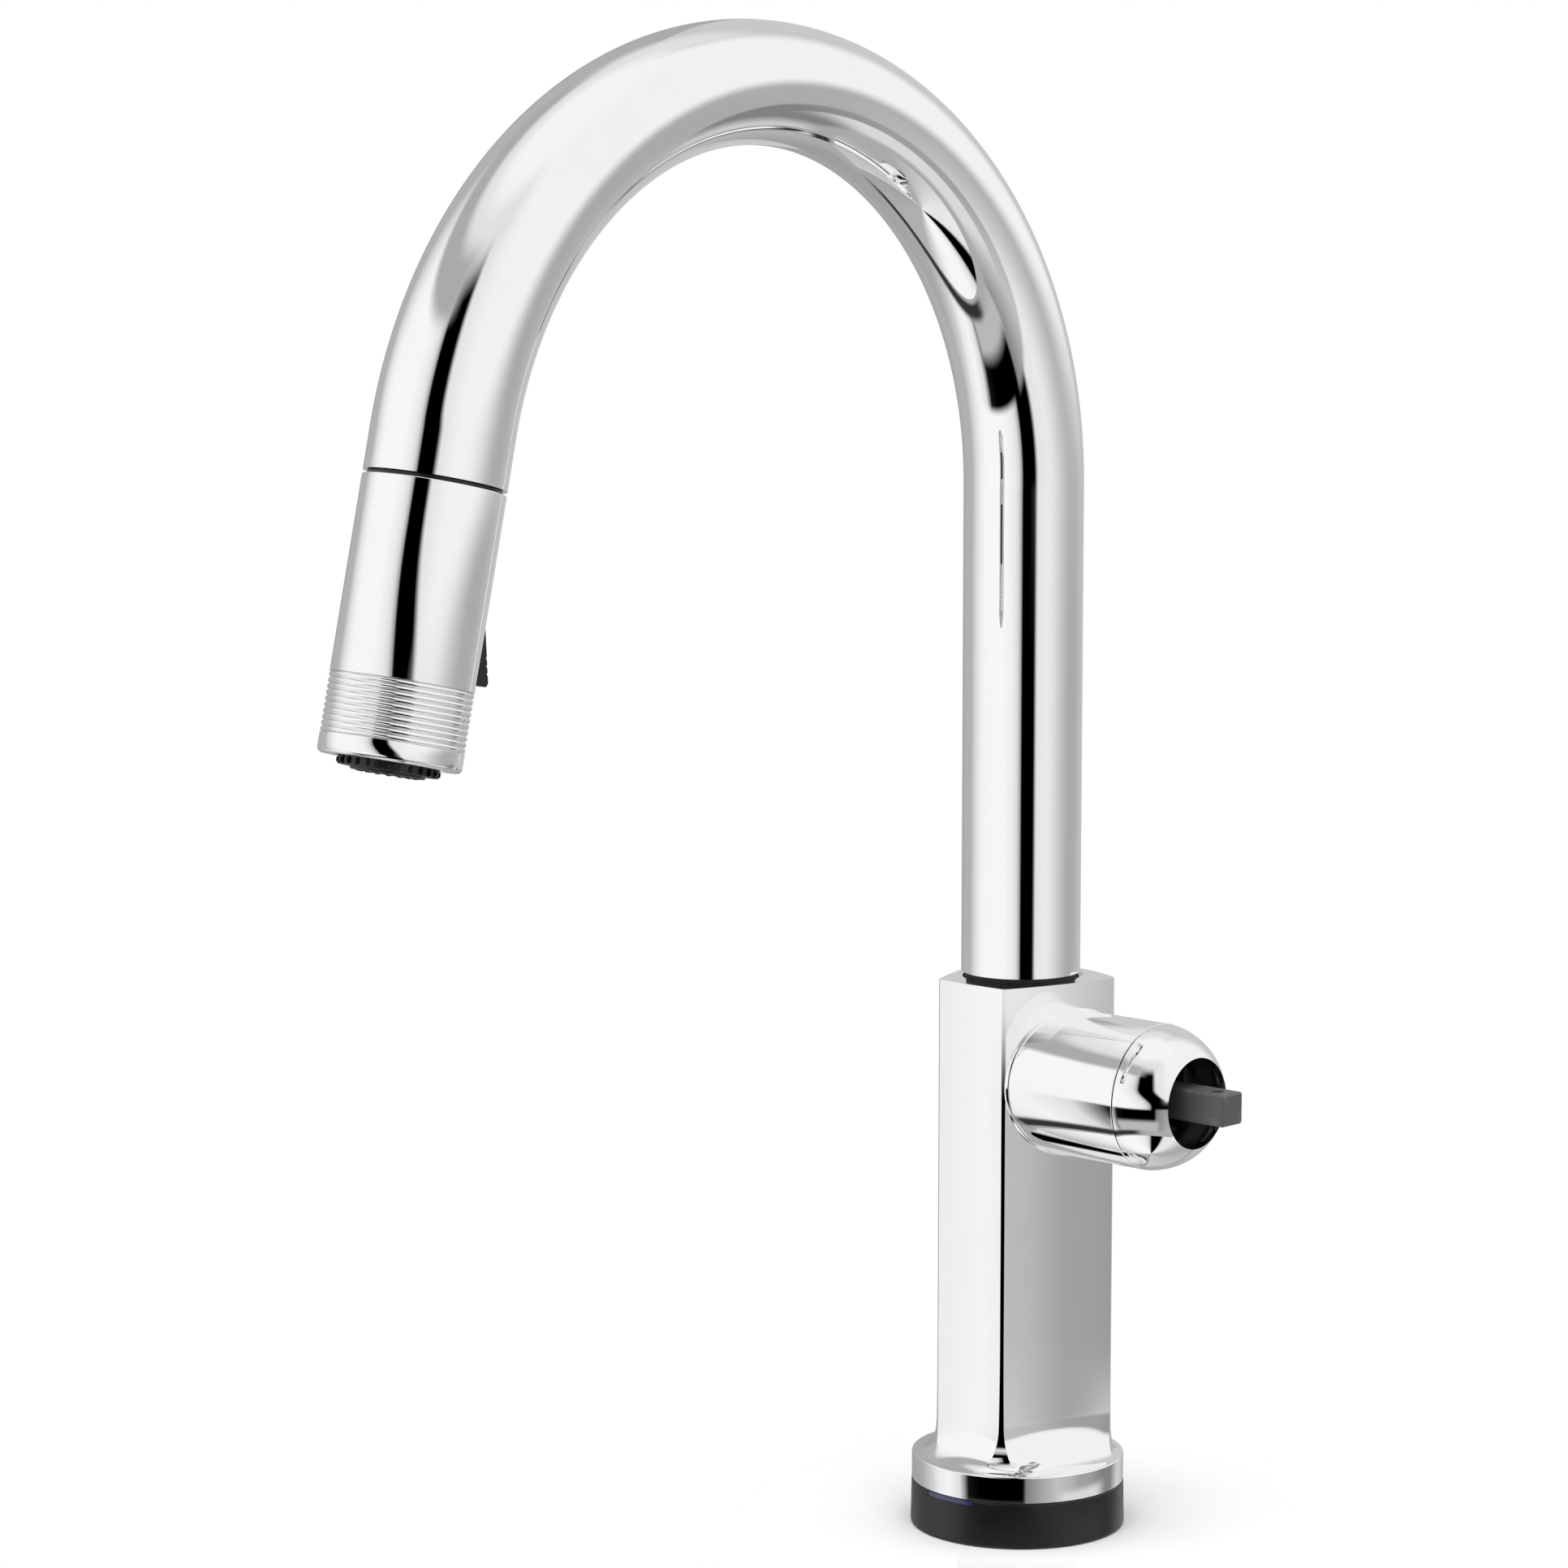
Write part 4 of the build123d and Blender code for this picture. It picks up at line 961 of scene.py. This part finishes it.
for face in dome.data.polygons:
    middle = face.center - Vector((dome_x, 0, hub_centre.z))
    if middle.length < inner_r + 0.1 * MM and middle.yz.length > mouth_r - 0.2 * MM:
        face.material_index = 1

# %% [markdown]
# ## Geometry Nodes
# What repeats or follows a path is left to Geometry Nodes. This helper starts a tree with named
# inputs; another one puts a tree on an object, sets the inputs by their identifiers, and turns
# the result into a plain mesh, because a modifier must not stay on a finished piece.

# %% Geometry Nodes helpers
def node_tree(name, inputs):
    """A geometry tree with a Geometry socket and named inputs; returns the tree and its ends."""
    tree = bpy.data.node_groups.new(name, "GeometryNodeTree")
    tree.interface.new_socket(name="Geometry", in_out="INPUT", socket_type="NodeSocketGeometry")
    kinds = {float: "NodeSocketFloat", int: "NodeSocketInt"}
    for title, value in inputs:
        kind = "NodeSocketMaterial" if value is None else kinds[type(value)]
        socket = tree.interface.new_socket(name=title, in_out="INPUT", socket_type=kind)
        if value is not None:
            socket.default_value = value
    tree.interface.new_socket(name="Geometry", in_out="OUTPUT", socket_type="NodeSocketGeometry")
    return tree, new_node(tree, "NodeGroupInput"), new_node(tree, "NodeGroupOutput")


def finish_tree(tree, given, result, geometry):
    """End a tree in Realize Instances and Set Material."""
    real = new_node(tree, "GeometryNodeRealizeInstances")
    tree.links.new(geometry, real.inputs[0])
    paint = new_node(tree, "GeometryNodeSetMaterial")
    tree.links.new(real.outputs[0], paint.inputs["Geometry"])
    tree.links.new(given.outputs["Material"], paint.inputs["Material"])
    tree.links.new(paint.outputs[0], result.inputs[0])


def grow(name, source, tree, values, material, body, replaced=(), solidify=0.0, crisp=32.0):
    """Run a geometry tree on an object and keep the result as a plain mesh on a body."""
    step = source.modifiers.new("grow", "NODES")
    step.node_group = tree
    sockets = {s.name: s.identifier for s in tree.interface.items_tree if s.in_out == "INPUT"}
    for title, value in values.items():
        step[sockets[title]] = value
    step[sockets["Material"]] = material
    depsgraph = bpy.context.evaluated_depsgraph_get()
    mesh = bpy.data.meshes.new_from_object(source.evaluated_get(depsgraph))
    source.modifiers.clear()
    bpy.data.objects.remove(source)
    obj = bpy.data.objects.new(name, mesh)
    bpy.context.scene.collection.objects.link(obj)
    tidy_mesh(obj, crisp)
    if solidify:
        wall = obj.modifiers.new("wall", "SOLIDIFY")
        wall.thickness = solidify
        wall.offset = -1
        depsgraph = bpy.context.evaluated_depsgraph_get()
        thick = bpy.data.meshes.new_from_object(obj.evaluated_get(depsgraph))
        obj.modifiers.clear()
        obj.data = thick
        tidy_mesh(obj, crisp)
    return adopt(obj, material, body, replaced)


def link_node(tree, kind, links=(), values=(), **settings):
    """Add a node, link sockets and set plain values by socket name or number."""
    node = new_node(tree, kind, **settings)
    for socket, source in links:
        tree.links.new(source, node.inputs[socket])
    for socket, value in values:
        node.inputs[socket].default_value = value
    return node


# %% [markdown]
# ## The spout
# The riser and its arch are one bent tube: straight up, round a big arc, and a short straight tail.
# A curve holds only that path. The tree gives it a radius that grows a little along the bend, sweeps
# a circle along it, and flattens the section slightly at the crown, as bending really does.

# %% Spout path
riser_r = 16 * MM
mouth_radius = span("spout_tube")[1].x
arc_start_z = 282.9 * MM
arc_r = 105.7 * MM
bend = math.pi - math.atan2(-outlet.y, -outlet.z)
tail = 12 * MM
tube_wall = 1.5 * MM

straight_steps, arc_steps, tail_steps = 60, 150, 10
path = [Vector((0, 0, tube_low.z + (arc_start_z - tube_low.z) * i / straight_steps))
        for i in range(straight_steps)]
for i in range(arc_steps):
    turn = bend * i / arc_steps
    path.append(Vector((0, arc_r * (math.cos(turn) - 1), arc_start_z + arc_r * math.sin(turn))))
path += [spout_end - outlet * tail * (1 - i / tail_steps) for i in range(tail_steps + 1)]
curve = bpy.data.curves.new("spout_path", "CURVE")
curve.dimensions = "3D"
spline = curve.splines.new("POLY")
spline.points.add(len(path) - 1)
for point, where in zip(spline.points, path):
    point.co = (*where, 1)
spout_path = bpy.data.objects.new("spout_path", curve)
bpy.context.scene.collection.objects.link(spout_path)
print("path points:", len(path), "bend", round(math.degrees(bend), 1))

# %% Spout tube by Geometry Nodes
tree, given, result = node_tree("bent_tube", [
    ("Arc start", 0.1), ("Arc end", 0.4), ("Foot radius", 0.016), ("Mouth radius", 0.017),
    ("Squash", 0.07), ("Sides", 96), ("Material", None)])
parameter = link_node(tree, "GeometryNodeSplineParameter")
share = link_node(tree, "ShaderNodeMapRange", [
    ("Value", parameter.outputs["Length"]), ("From Min", given.outputs["Arc start"]),
    ("From Max", given.outputs["Arc end"])])
growth = math_node(tree, "SUBTRACT", given.outputs["Mouth radius"], given.outputs["Foot radius"])
growth = math_node(tree, "MULTIPLY", growth, share.outputs[0])
radius = math_node(tree, "ADD", growth, given.outputs["Foot radius"])
sized = link_node(tree, "GeometryNodeSetCurveRadius", [("Curve", given.outputs[0]), ("Radius", radius)])
centre = link_node(tree, "GeometryNodeCaptureAttribute", [("Geometry", sized.outputs[0])])
centre.capture_items.new("VECTOR", "Centre")
centre.capture_items.new("FLOAT", "Share")
tree.links.new(link_node(tree, "GeometryNodeInputPosition").outputs[0], centre.inputs["Centre"])
tree.links.new(share.outputs[0], centre.inputs["Share"])
circle = link_node(tree, "GeometryNodeCurvePrimitiveCircle",
                   [("Resolution", given.outputs["Sides"])], [("Radius", 1.0)])
tube = link_node(tree, "GeometryNodeCurveToMesh",
                 [("Curve", centre.outputs["Geometry"]), ("Profile Curve", circle.outputs["Curve"])])
if "Scale" in tube.inputs:
    tree.links.new(link_node(tree, "GeometryNodeInputRadius").outputs[0], tube.inputs["Scale"])
offset = link_node(tree, "ShaderNodeVectorMath", operation="SUBTRACT")
tree.links.new(link_node(tree, "GeometryNodeInputPosition").outputs[0], offset.inputs[0])
tree.links.new(centre.outputs["Centre"], offset.inputs[1])
arch = math_node(tree, "SINE", math_node(tree, "MULTIPLY", centre.outputs["Share"], math.pi))
thinner = math_node(tree, "MULTIPLY", math_node(tree, "MULTIPLY", arch, given.outputs["Squash"]), -1.0)
keep = link_node(tree, "ShaderNodeCombineXYZ", [("Y", thinner), ("Z", thinner)])
shift = link_node(tree, "ShaderNodeVectorMath", [(0, offset.outputs[0]), (1, keep.outputs[0])],
                  operation="MULTIPLY")
squashed = link_node(tree, "GeometryNodeSetPosition",
                     [("Geometry", tube.outputs[0]), ("Offset", shift.outputs[0])])
finish_tree(tree, given, result, squashed.outputs[0])
arc_from = arc_start_z - tube_low.z
grow("spout_tube_polished", spout_path, tree,
             {"Arc start": arc_from, "Arc end": arc_from + arc_r * bend, "Foot radius": riser_r,
              "Mouth radius": mouth_radius, "Squash": 0.07, "Sides": 128},
             chrome, "spout", ["spout_tube"], solidify=tube_wall, crisp=40)

# %% [markdown]
# ## The spray wand
# The wand is a thin turned shell with a band of bead ribs for grip. The shell is turned smooth with
# a shallow waist, then the ribs are added as rings, one half-round bead copied along the axis by
# Geometry Nodes. A window is cut in the side that faces the riser, for the rocker button.

# %% Wand shell
wand_r = 17.2 * MM
wand_wall = 2.2 * MM
wand_gap, wand_len = 1.0 * MM, 67.2 * MM
rib_start, rib_end, rib_count, rib_depth = 48 * MM, 62.4 * MM, 10, 0.6 * MM
rib_pitch = (rib_end - rib_start) / rib_count
waist_r = wand_r - rib_depth
shell_in = wand_r - wand_wall
shell_outline = [
    (shell_in, wand_gap), (wand_r, wand_gap, 0.3 * MM), (wand_r, rib_start, 0.12 * MM),
    (waist_r, rib_start), (waist_r, rib_end), (wand_r, rib_end, 0.12 * MM),
    (wand_r, wand_len, 1.2 * MM), (shell_in, wand_len, 0.2 * MM)]
wand_shell = lathe("wand_shell_polished", shell_outline, about_wand, chrome, "wand",
                   ["wand_shell"], steps=192)

button_half = span("spray_button")[1].x
button_top, button_end, button_proud = 28.5 * MM, 45.6 * MM, 4.7 * MM
window_gap = 0.3 * MM


def wand_box(half, near, far, low, high):
    """A block in the wand's own frame; near and far are distances from the axis to the riser side."""
    builder = bmesh.new()
    corners = []
    for h in (low, high):
        for depth in (near, far):
            for side in (-half, half):
                corners.append(builder.verts.new(spout_end + outlet * h - inward * depth + across * side))
    for face in ((0, 1, 3, 2), (4, 6, 7, 5), (0, 4, 5, 1), (2, 3, 7, 6), (0, 2, 6, 4), (1, 5, 7, 3)):
        builder.faces.new([corners[i] for i in face])
    bmesh.ops.recalc_face_normals(builder, faces=builder.faces)
    return link_mesh("window_cutter", builder)


cut(wand_shell, wand_box(button_half + window_gap, 8 * MM, 24 * MM,
                         button_top - 0.4 * MM, button_end + 0.5 * MM))
tidy_mesh(wand_shell, 28)

# %% Grip ribs by Geometry Nodes
tree, given, result = node_tree("bead_ribs", [
    ("Count", 10), ("Pitch", 0.0014), ("Ring radius", 0.0166), ("Bead radius", 0.0007),
    ("Sides", 160), ("Material", None)])
step_vector = link_node(tree, "ShaderNodeCombineXYZ", [("Z", given.outputs["Pitch"])])
line = link_node(tree, "GeometryNodeMeshLine",
                 [("Count", given.outputs["Count"]), ("Offset", step_vector.outputs[0])])
ring = link_node(tree, "GeometryNodeCurvePrimitiveCircle",
                 [("Resolution", given.outputs["Sides"]), ("Radius", given.outputs["Ring radius"])])
bead = link_node(tree, "GeometryNodeCurvePrimitiveCircle", [("Radius", given.outputs["Bead radius"])],
                 [("Resolution", 14)])
torus = link_node(tree, "GeometryNodeCurveToMesh",
                  [("Curve", ring.outputs["Curve"]), ("Profile Curve", bead.outputs["Curve"])])
copies = link_node(tree, "GeometryNodeInstanceOnPoints",
                   [("Points", line.outputs[0]), ("Instance", torus.outputs[0])])
finish_tree(tree, given, result, copies.outputs[0])


def empty_source(name):
    mesh = bpy.data.meshes.new(name)
    obj = bpy.data.objects.new(name, mesh)
    bpy.context.scene.collection.objects.link(obj)
    return obj


def stand_on_wand(obj, height):
    """Move a mesh built on +Z to a place on the wand's axis."""
    place = Matrix((across, inward, outlet)).transposed().to_4x4()
    place.translation = spout_end + outlet * height
    obj.data.transform(place)
    return obj


bead_r = rib_pitch / 2
ribs = grow("grip_ribs", empty_source("rib_source"), tree,
            {"Count": rib_count, "Pitch": rib_pitch, "Ring radius": wand_r - bead_r,
             "Bead radius": bead_r, "Sides": 160}, chrome, "wand")
stand_on_wand(ribs, rib_start + rib_pitch / 2)

# %% [markdown]
# ## The rocker button
# The button is a wedge that stands proud at its lower end. It is drawn as a side profile, given its
# width, and its edges are rounded by a bevel. Three shallow thumb grooves cross its face.

# %% Button
def wand_side(depth, height, side):
    return spout_end + outlet * height - inward * depth + across * side


button_in = shell_in - 3.2 * MM
face_start = Vector((wand_r + 0.2 * MM, button_top + 0.8 * MM))
face_end = Vector((wand_r + button_proud, button_end - 1.0 * MM))
profile = [(button_in, button_top), (wand_r - 0.5 * MM, button_top), tuple(face_start)]
groove_depth, groove_half = 0.25 * MM, 0.5 * MM
face_out = (face_end - face_start).normalized()
face_normal = Vector((face_out.y, -face_out.x))
for number in range(3):
    middle = face_start.lerp(face_end, 0.62 + 0.12 * number)
    profile += [tuple(middle - face_out * groove_half), tuple(middle - face_normal * groove_depth),
                tuple(middle + face_out * groove_half)]
profile += [tuple(face_end), (wand_r + button_proud - 0.5 * MM, button_end), (button_in, button_end)]
builder = bmesh.new()
sides = [[builder.verts.new(wand_side(d, h, side)) for d, h in profile]
         for side in (-button_half, button_half)]
for i in range(len(profile)):
    j = (i + 1) % len(profile)
    builder.faces.new((sides[0][i], sides[0][j], sides[1][j], sides[1][i]))
builder.faces.new(sides[0])
builder.faces.new(list(reversed(sides[1])))
bmesh.ops.recalc_face_normals(builder, faces=builder.faces)
sharp = [e for e in builder.edges if e.calc_face_angle(0) > math.radians(60)]
bmesh.ops.bevel(builder, geom=sharp, offset=0.35 * MM, segments=3, affect="EDGES", profile=0.6)
button = tidy_mesh(link_mesh("rocker_button", builder), 25)
adopt(button, satin_black, "button", ["spray_button"])

# %% [markdown]
# ## The spray face
# Looking up into the wand you see a black carrier, a ring with small teeth, a disc, and the soft
# nozzles. Teeth and nozzles repeat round circles, so each is one small shape copied by a tree.

# %% Teeth and nozzles by Geometry Nodes
tree, given, result = node_tree("round_pattern", [
    ("Count", 12), ("Circle radius", 0.01), ("Start turn", 0.0), ("Material", None)])
circle = link_node(tree, "GeometryNodeMeshCircle",
                   [("Vertices", given.outputs["Count"]), ("Radius", given.outputs["Circle radius"])])
where = link_node(tree, "GeometryNodeInputPosition")
aim = link_node(tree, "FunctionNodeAlignRotationToVector", [("Vector", where.outputs[0])], axis="X")
copies = link_node(tree, "GeometryNodeInstanceOnPoints",
                   [("Points", circle.outputs[0]), ("Instance", given.outputs[0]),
                    ("Rotation", aim.outputs[0])])
spin = link_node(tree, "ShaderNodeCombineXYZ", [("Z", given.outputs["Start turn"])])
turned = link_node(tree, "GeometryNodeTransform", [("Geometry", copies.outputs[0])])
rotation = link_node(tree, "FunctionNodeEulerToRotation", [(0, spin.outputs[0])])
tree.links.new(rotation.outputs[0], turned.inputs["Rotation"])
finish_tree(tree, given, result, turned.outputs[0])
pattern = tree


def small_turned(name, outline, steps):
    """A small turned shape round +Z, used as the thing to copy."""
    builder = bmesh.new()
    rows = [[builder.verts.new(about_z(r, h, 2 * math.pi * i / steps)) for i in range(steps)]
            for r, h in outline]
    for number, row in enumerate(rows):
        following = rows[(number + 1) % len(rows)]
        for i in range(steps):
            j = (i + 1) % steps
            builder.faces.new((row[i], row[j], following[j], following[i]))
    return tidy_mesh(link_mesh(name, builder))


def tooth_shape(length, width, height):
    """One tooth: a block along X with bevelled edges, standing on z = 0."""
    builder = bmesh.new()
    bmesh.ops.create_cube(builder, size=1)
    bmesh.ops.scale(builder, vec=(length, width, height), verts=builder.verts)
    bmesh.ops.translate(builder, vec=(0, 0, height / 2), verts=builder.verts)
    bmesh.ops.bevel(builder, geom=list(builder.edges), offset=width * 0.22, segments=2, affect="EDGES")
    return link_mesh("tooth", builder)


tooth_ring_r, tooth_out, disc_r, disc_out = 12.4 * MM, 2.0 * MM, 9.0 * MM, 2.7 * MM
carrier_end = 59.5 * MM
ring_face = wand_len + tooth_out
tooth_depth = 1.9 * MM
lathe("tooth_ring_body", [
    (disc_r + 0.3 * MM, carrier_end), (tooth_ring_r - 0.75 * MM, carrier_end),
    (tooth_ring_r - 0.75 * MM, ring_face, 0.3 * MM), (disc_r + 0.3 * MM, ring_face, 0.4 * MM)],
    about_wand, satin_black, "wand", ["tooth_ring"], steps=96)
teeth = grow("tooth_ring_teeth", tooth_shape(1.5 * MM, 1.7 * MM, tooth_depth), pattern,
             {"Count": 26, "Circle radius": tooth_ring_r - 0.76 * MM, "Start turn": 0.0},
             satin_black, "wand", crisp=40)
stand_on_wand(teeth, ring_face - tooth_depth - 0.1 * MM)

disc_face = wand_len + disc_out
lathe("nozzle_face", [
    (0, carrier_end + 1.1 * MM), (disc_r, carrier_end + 1.1 * MM), (disc_r, disc_face, 0.5 * MM),
    (3.4 * MM, disc_face, 0.2 * MM), (2.9 * MM, disc_face - 0.5 * MM, 0.2 * MM), (0, disc_face - 0.5 * MM)],
    about_wand, satin_black, "wand", ["nozzle_disc"], steps=96)
nozzle_r, nozzle_hole = 0.75 * MM, 0.35 * MM
for row_number, (row_r, count, start) in enumerate(((6.9 * MM, 16, 0.0), (4.3 * MM, 10, 0.2))):
    cup = small_turned("nozzle", [
        (nozzle_hole, 0), (nozzle_r, 0), (nozzle_r, 0.3 * MM), (nozzle_r * 0.85, 0.58 * MM),
        (nozzle_hole + 0.12 * MM, 0.7 * MM), (nozzle_hole, 0.62 * MM)], 14)
    nozzles = grow(f"nozzle_row_{row_number + 1}", cup, pattern,
                   {"Count": count, "Circle radius": row_r, "Start turn": start},
                   soft_rubber, "wand", ["soft_nozzles"] if row_number == 0 else ())
    stand_on_wand(nozzles, disc_face - 0.5 * MM)

# %% [markdown]
# ## The threaded shank
# Under the deck a brass tube holds the faucet down. Its thread is a true helix: the tree winds a
# spiral curve, sweeps a small triangle along it, and the crests sit on a turned core.

# %% Shank and thread
shank_low, shank_high = span("mounting_shank")
shank_r = shank_high.x
thread_depth, thread_pitch = 0.7 * MM, 2.0 * MM
core_r = shank_r - thread_depth
plain_to = -3 * MM
shank_bore, neck_out, shoulder_z = 13.5 * MM, 15 * MM, 2.45 * MM
lathe("shank_core", [
    (shank_bore, shank_high.z), (neck_out, shank_high.z, 0.2 * MM), (neck_out, shoulder_z),
    (shank_r, shoulder_z, 0.3 * MM), (shank_r, plain_to, 0.3 * MM), (core_r, plain_to - 0.5 * MM),
    (core_r, shank_low.z, 0.4 * MM), (shank_bore, shank_low.z, 0.3 * MM)],
    about_z, brass, "base", ["mounting_shank"], steps=96)
tree, given, result = node_tree("helix_thread", [
    ("Turns", 20.0), ("Height", 0.04), ("Radius", 0.0158), ("Depth", 0.0007), ("Material", None)])
spiral = link_node(tree, "GeometryNodeCurveSpiral", [
    ("Rotations", given.outputs["Turns"]), ("Start Radius", given.outputs["Radius"]),
    ("End Radius", given.outputs["Radius"]), ("Height", given.outputs["Height"])], [("Resolution", 48)])
upright = link_node(tree, "GeometryNodeSetCurveNormal", [("Curve", spiral.outputs[0])], mode="Z_UP")
triangle = link_node(tree, "GeometryNodeCurvePrimitiveCircle", [("Radius", given.outputs["Depth"])],
                     [("Resolution", 6)])
thread = link_node(tree, "GeometryNodeCurveToMesh",
                   [("Curve", upright.outputs[0]), ("Profile Curve", triangle.outputs["Curve"])],
                   [("Fill Caps", True)])
finish_tree(tree, given, result, thread.outputs[0])
thread_h = plain_to - shank_low.z - 2 * MM
helix = grow("shank_thread", empty_source("thread_source"), tree,
             {"Turns": thread_h / thread_pitch, "Height": thread_h, "Radius": shank_r - thread_depth,
              "Depth": thread_depth - 0.02 * MM}, brass, "base", crisp=50)
helix.data.transform(Matrix.Translation((0, 0, shank_low.z + 0.9 * MM)))

# %% [markdown]
# ## The glide ring
# The spout turns on a thin moulded ring. Only its neck shows, set back in the gap under the tube, so
# the gap reads as a deep black line. A turned piece with a stepped outline does that.

# %% Glide ring
ring_seat, neck_r, ring_in = 15.6 * MM, 14.5 * MM, 13.3 * MM
gap_top = tube_low.z - 0.2 * MM
lathe("glide_ring_moulded", [
    (ring_in, column_top - 1.15 * MM), (ring_seat, column_top - 1.15 * MM, 0.05 * MM),
    (ring_seat, column_top - 0.6 * MM, 0.1 * MM), (neck_r, column_top - 0.3 * MM, 0.2 * MM),
    (neck_r, gap_top, 0.1 * MM), (ring_in, gap_top)],
    about_z, soft_rubber, "base", ["glide_ring"], steps=96)

# %% [markdown]
# ## Finishes for the pieces that keep their CAD shape
# The rest are inside or under the deck. Their shape is right, so only the finish changes.

# %% CAD nodes' finishes
finish_of = {
    satin_black: ["cartridge_housing", "stem_carrier", "dock_collar", "wand_collar", "spray_carrier"],
    acetal: ["hose_guide", "wand_waterway", "check_valve", "disc_driver",
             "lower_bushing", "upper_bushing"],
    soft_rubber: ["deck_seal", "rubber_washer", "port_seal", "face_seal"],
    brass: ["valve_body", "port_nipples", "spout_insert", "hose_swivel_nut", "mounting_nut"],
    steel: ["steel_washer", "clamp_screws", "valve_screws", "retaining_screw", "lever_pin", "button_pin",
            "docking_ring", "hose_end", "diverter_plunger", "stream_screen"],
    nickel: ["dock_magnet", "bonnet_nut"],
    alumina: ["fixed_disc", "moving_disc"],
    cast_zinc: ["lever_stub"],
    blue_window: ["indicator_lens"],
    board_green: ["light_board"],
}
for material, names in finish_of.items():
    for name in names:
        obj = frame["nodes"][name]
        obj.data.materials.clear()
        obj.data.materials.append(material)
print("refinished", sum(len(names) for names in finish_of.values()), "CAD nodes")
